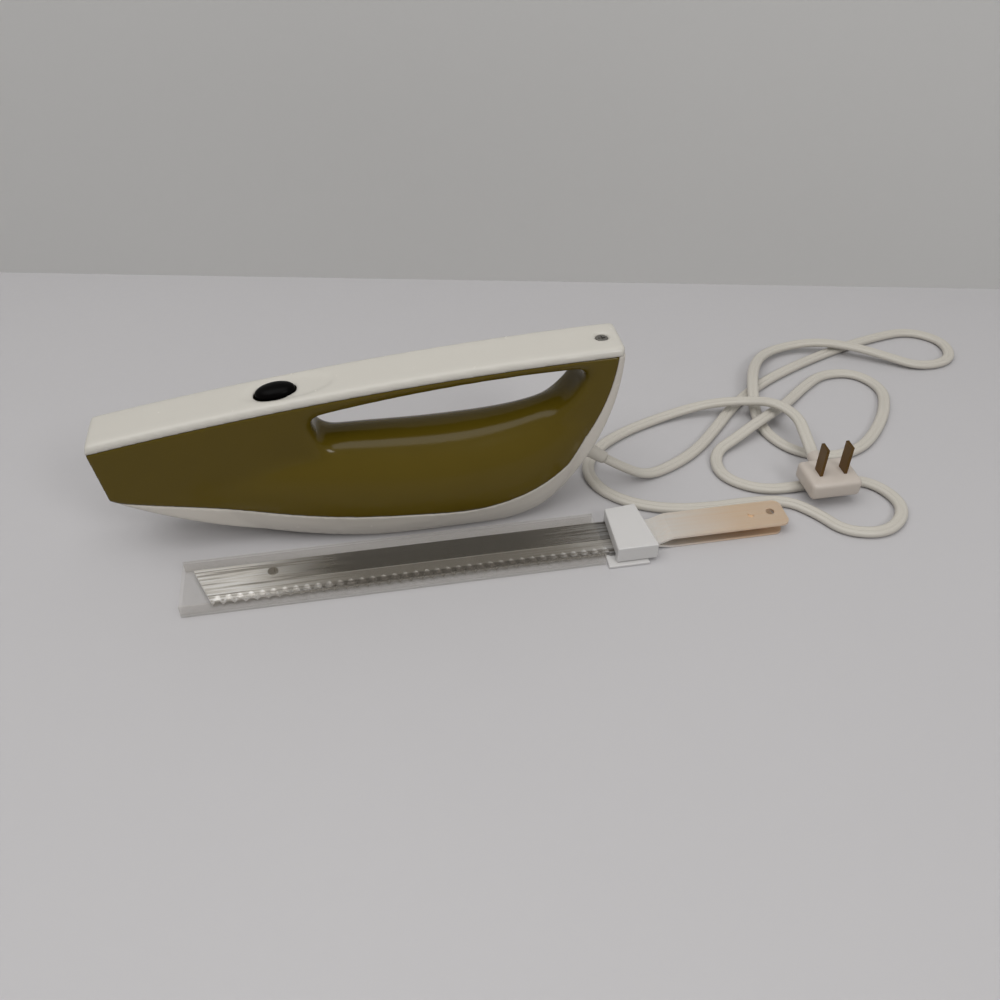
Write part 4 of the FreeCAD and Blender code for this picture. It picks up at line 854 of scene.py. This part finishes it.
class KNIFE_OT_stage(bpy.types.Operator):
    """Set up the floor, the wall, the lamps and the camera"""

    bl_idname = "knife.stage"
    bl_label = "Studio"

    def execute(self, context):
        scene = context.scene
        tint = colours()
        left, right = WALL_LINE
        along = (right - left).normalized()
        turn = math.atan2(along.y, along.x)
        middle = (left + right) / 2
        back = Vector((along.y, -along.x, 0))
        # Smooth laminate, nearly even and soft in its gloss
        laminate = moulded_plastic("pale_laminate", tint.floor, roughness=0.5, cloud_mm=160, shade=0.97,
                                   bump=0.01)
        floor = backdrop("studio_floor", middle + back * (STAGE_HALF - FLOOR_BEHIND), (0, 0, turn),
                         laminate)
        # Matt wall paint
        emulsion = moulded_plastic("pale_painted_wall", tint.wall, roughness=0.7, cloud_mm=300, shade=0.97,
                                   bump=0.01)
        wall = backdrop("studio_wall", middle + Vector((0, 0, STAGE_HALF)), (math.radians(90), 0, turn),
                        one_sided(emulsion))
        world = bpy.data.worlds.new("studio_world")
        scene.world = world
        world.use_nodes = True
        sky = world.node_tree.nodes["Background"]
        sky.inputs["Color"].default_value = opaque(WHITE)
        sky.inputs["Strength"].default_value = SKY_LIGHT
        # Each lamp's name, place, aim, side in metres and power in watts
        for name, place, aim, side, power in (
            ("lamp_over", (-0.25, 0.0, sizes().lamp_height), (0, 0, 0), 1.5, 15.5),
            ("lamp_front", (0.5, -0.9, 0.9), (0, 0, 0.03), 0.35, 3.5),
        ):
            lamp = bpy.data.lights.new(name, "AREA")
            lamp.shape = "SQUARE"
            lamp.size = side
            lamp.energy = power
            holder = bpy.data.objects.new(name, lamp)
            holder.location = place
            holder.rotation_euler = (Vector(aim) - Vector(place)).to_track_quat("-Z", "Y").to_euler()
            scene.collection.objects.link(holder)
        eye = bpy.data.cameras.new("photo_camera")
        eye.sensor_width = CAMERA_SENSOR
        eye.lens = CAMERA_LENS
        eye.clip_start = CAMERA_NEAR
        camera = bpy.data.objects.new("photo_camera", eye)
        camera.location = CAMERA_PLACE
        camera.rotation_euler = CAMERA_TURN
        scene.collection.objects.link(camera)
        scene.camera = camera
        scene.view_settings.view_transform = "Standard"
        return {"FINISHED"}


class KNIFE_PT_looks(bpy.types.Panel):
    """Lists the steps that dress the knife"""

    bl_idname = "KNIFE_PT_looks"
    bl_label = "Carving knife"
    bl_space_type = "VIEW_3D"
    bl_region_type = "UI"
    bl_category = "Knife"

    def draw(self, context):
        for step in STEPS:
            self.layout.operator(step.bl_idname)
        for group in (context.scene.knife_colours, context.scene.knife_sizes):
            for name in group.__annotations__:
                self.layout.prop(group, name)


STEPS = (KNIFE_OT_casing, KNIFE_OT_button, KNIFE_OT_blades, KNIFE_OT_plug, KNIFE_OT_cord, KNIFE_OT_works,
         KNIFE_OT_stage)
CLASSES = (KnifeColours, KnifeSizes) + STEPS + (KNIFE_PT_looks,)


def register():
    for cls in CLASSES:
        bpy.utils.register_class(cls)
    bpy.types.Scene.knife_colours = bpy.props.PointerProperty(type=KnifeColours)
    bpy.types.Scene.knife_sizes = bpy.props.PointerProperty(type=KnifeSizes)


def unregister():
    del bpy.types.Scene.knife_sizes
    del bpy.types.Scene.knife_colours
    for cls in reversed(CLASSES):
        bpy.utils.unregister_class(cls)


def main():
    register()
    bpy.ops.knife.casing()
    bpy.ops.knife.button()
    bpy.ops.knife.blades()
    bpy.ops.knife.plug()
    bpy.ops.knife.cord()
    bpy.ops.knife.works()
    bpy.ops.knife.stage()


if __name__ == "__main__":
    main()
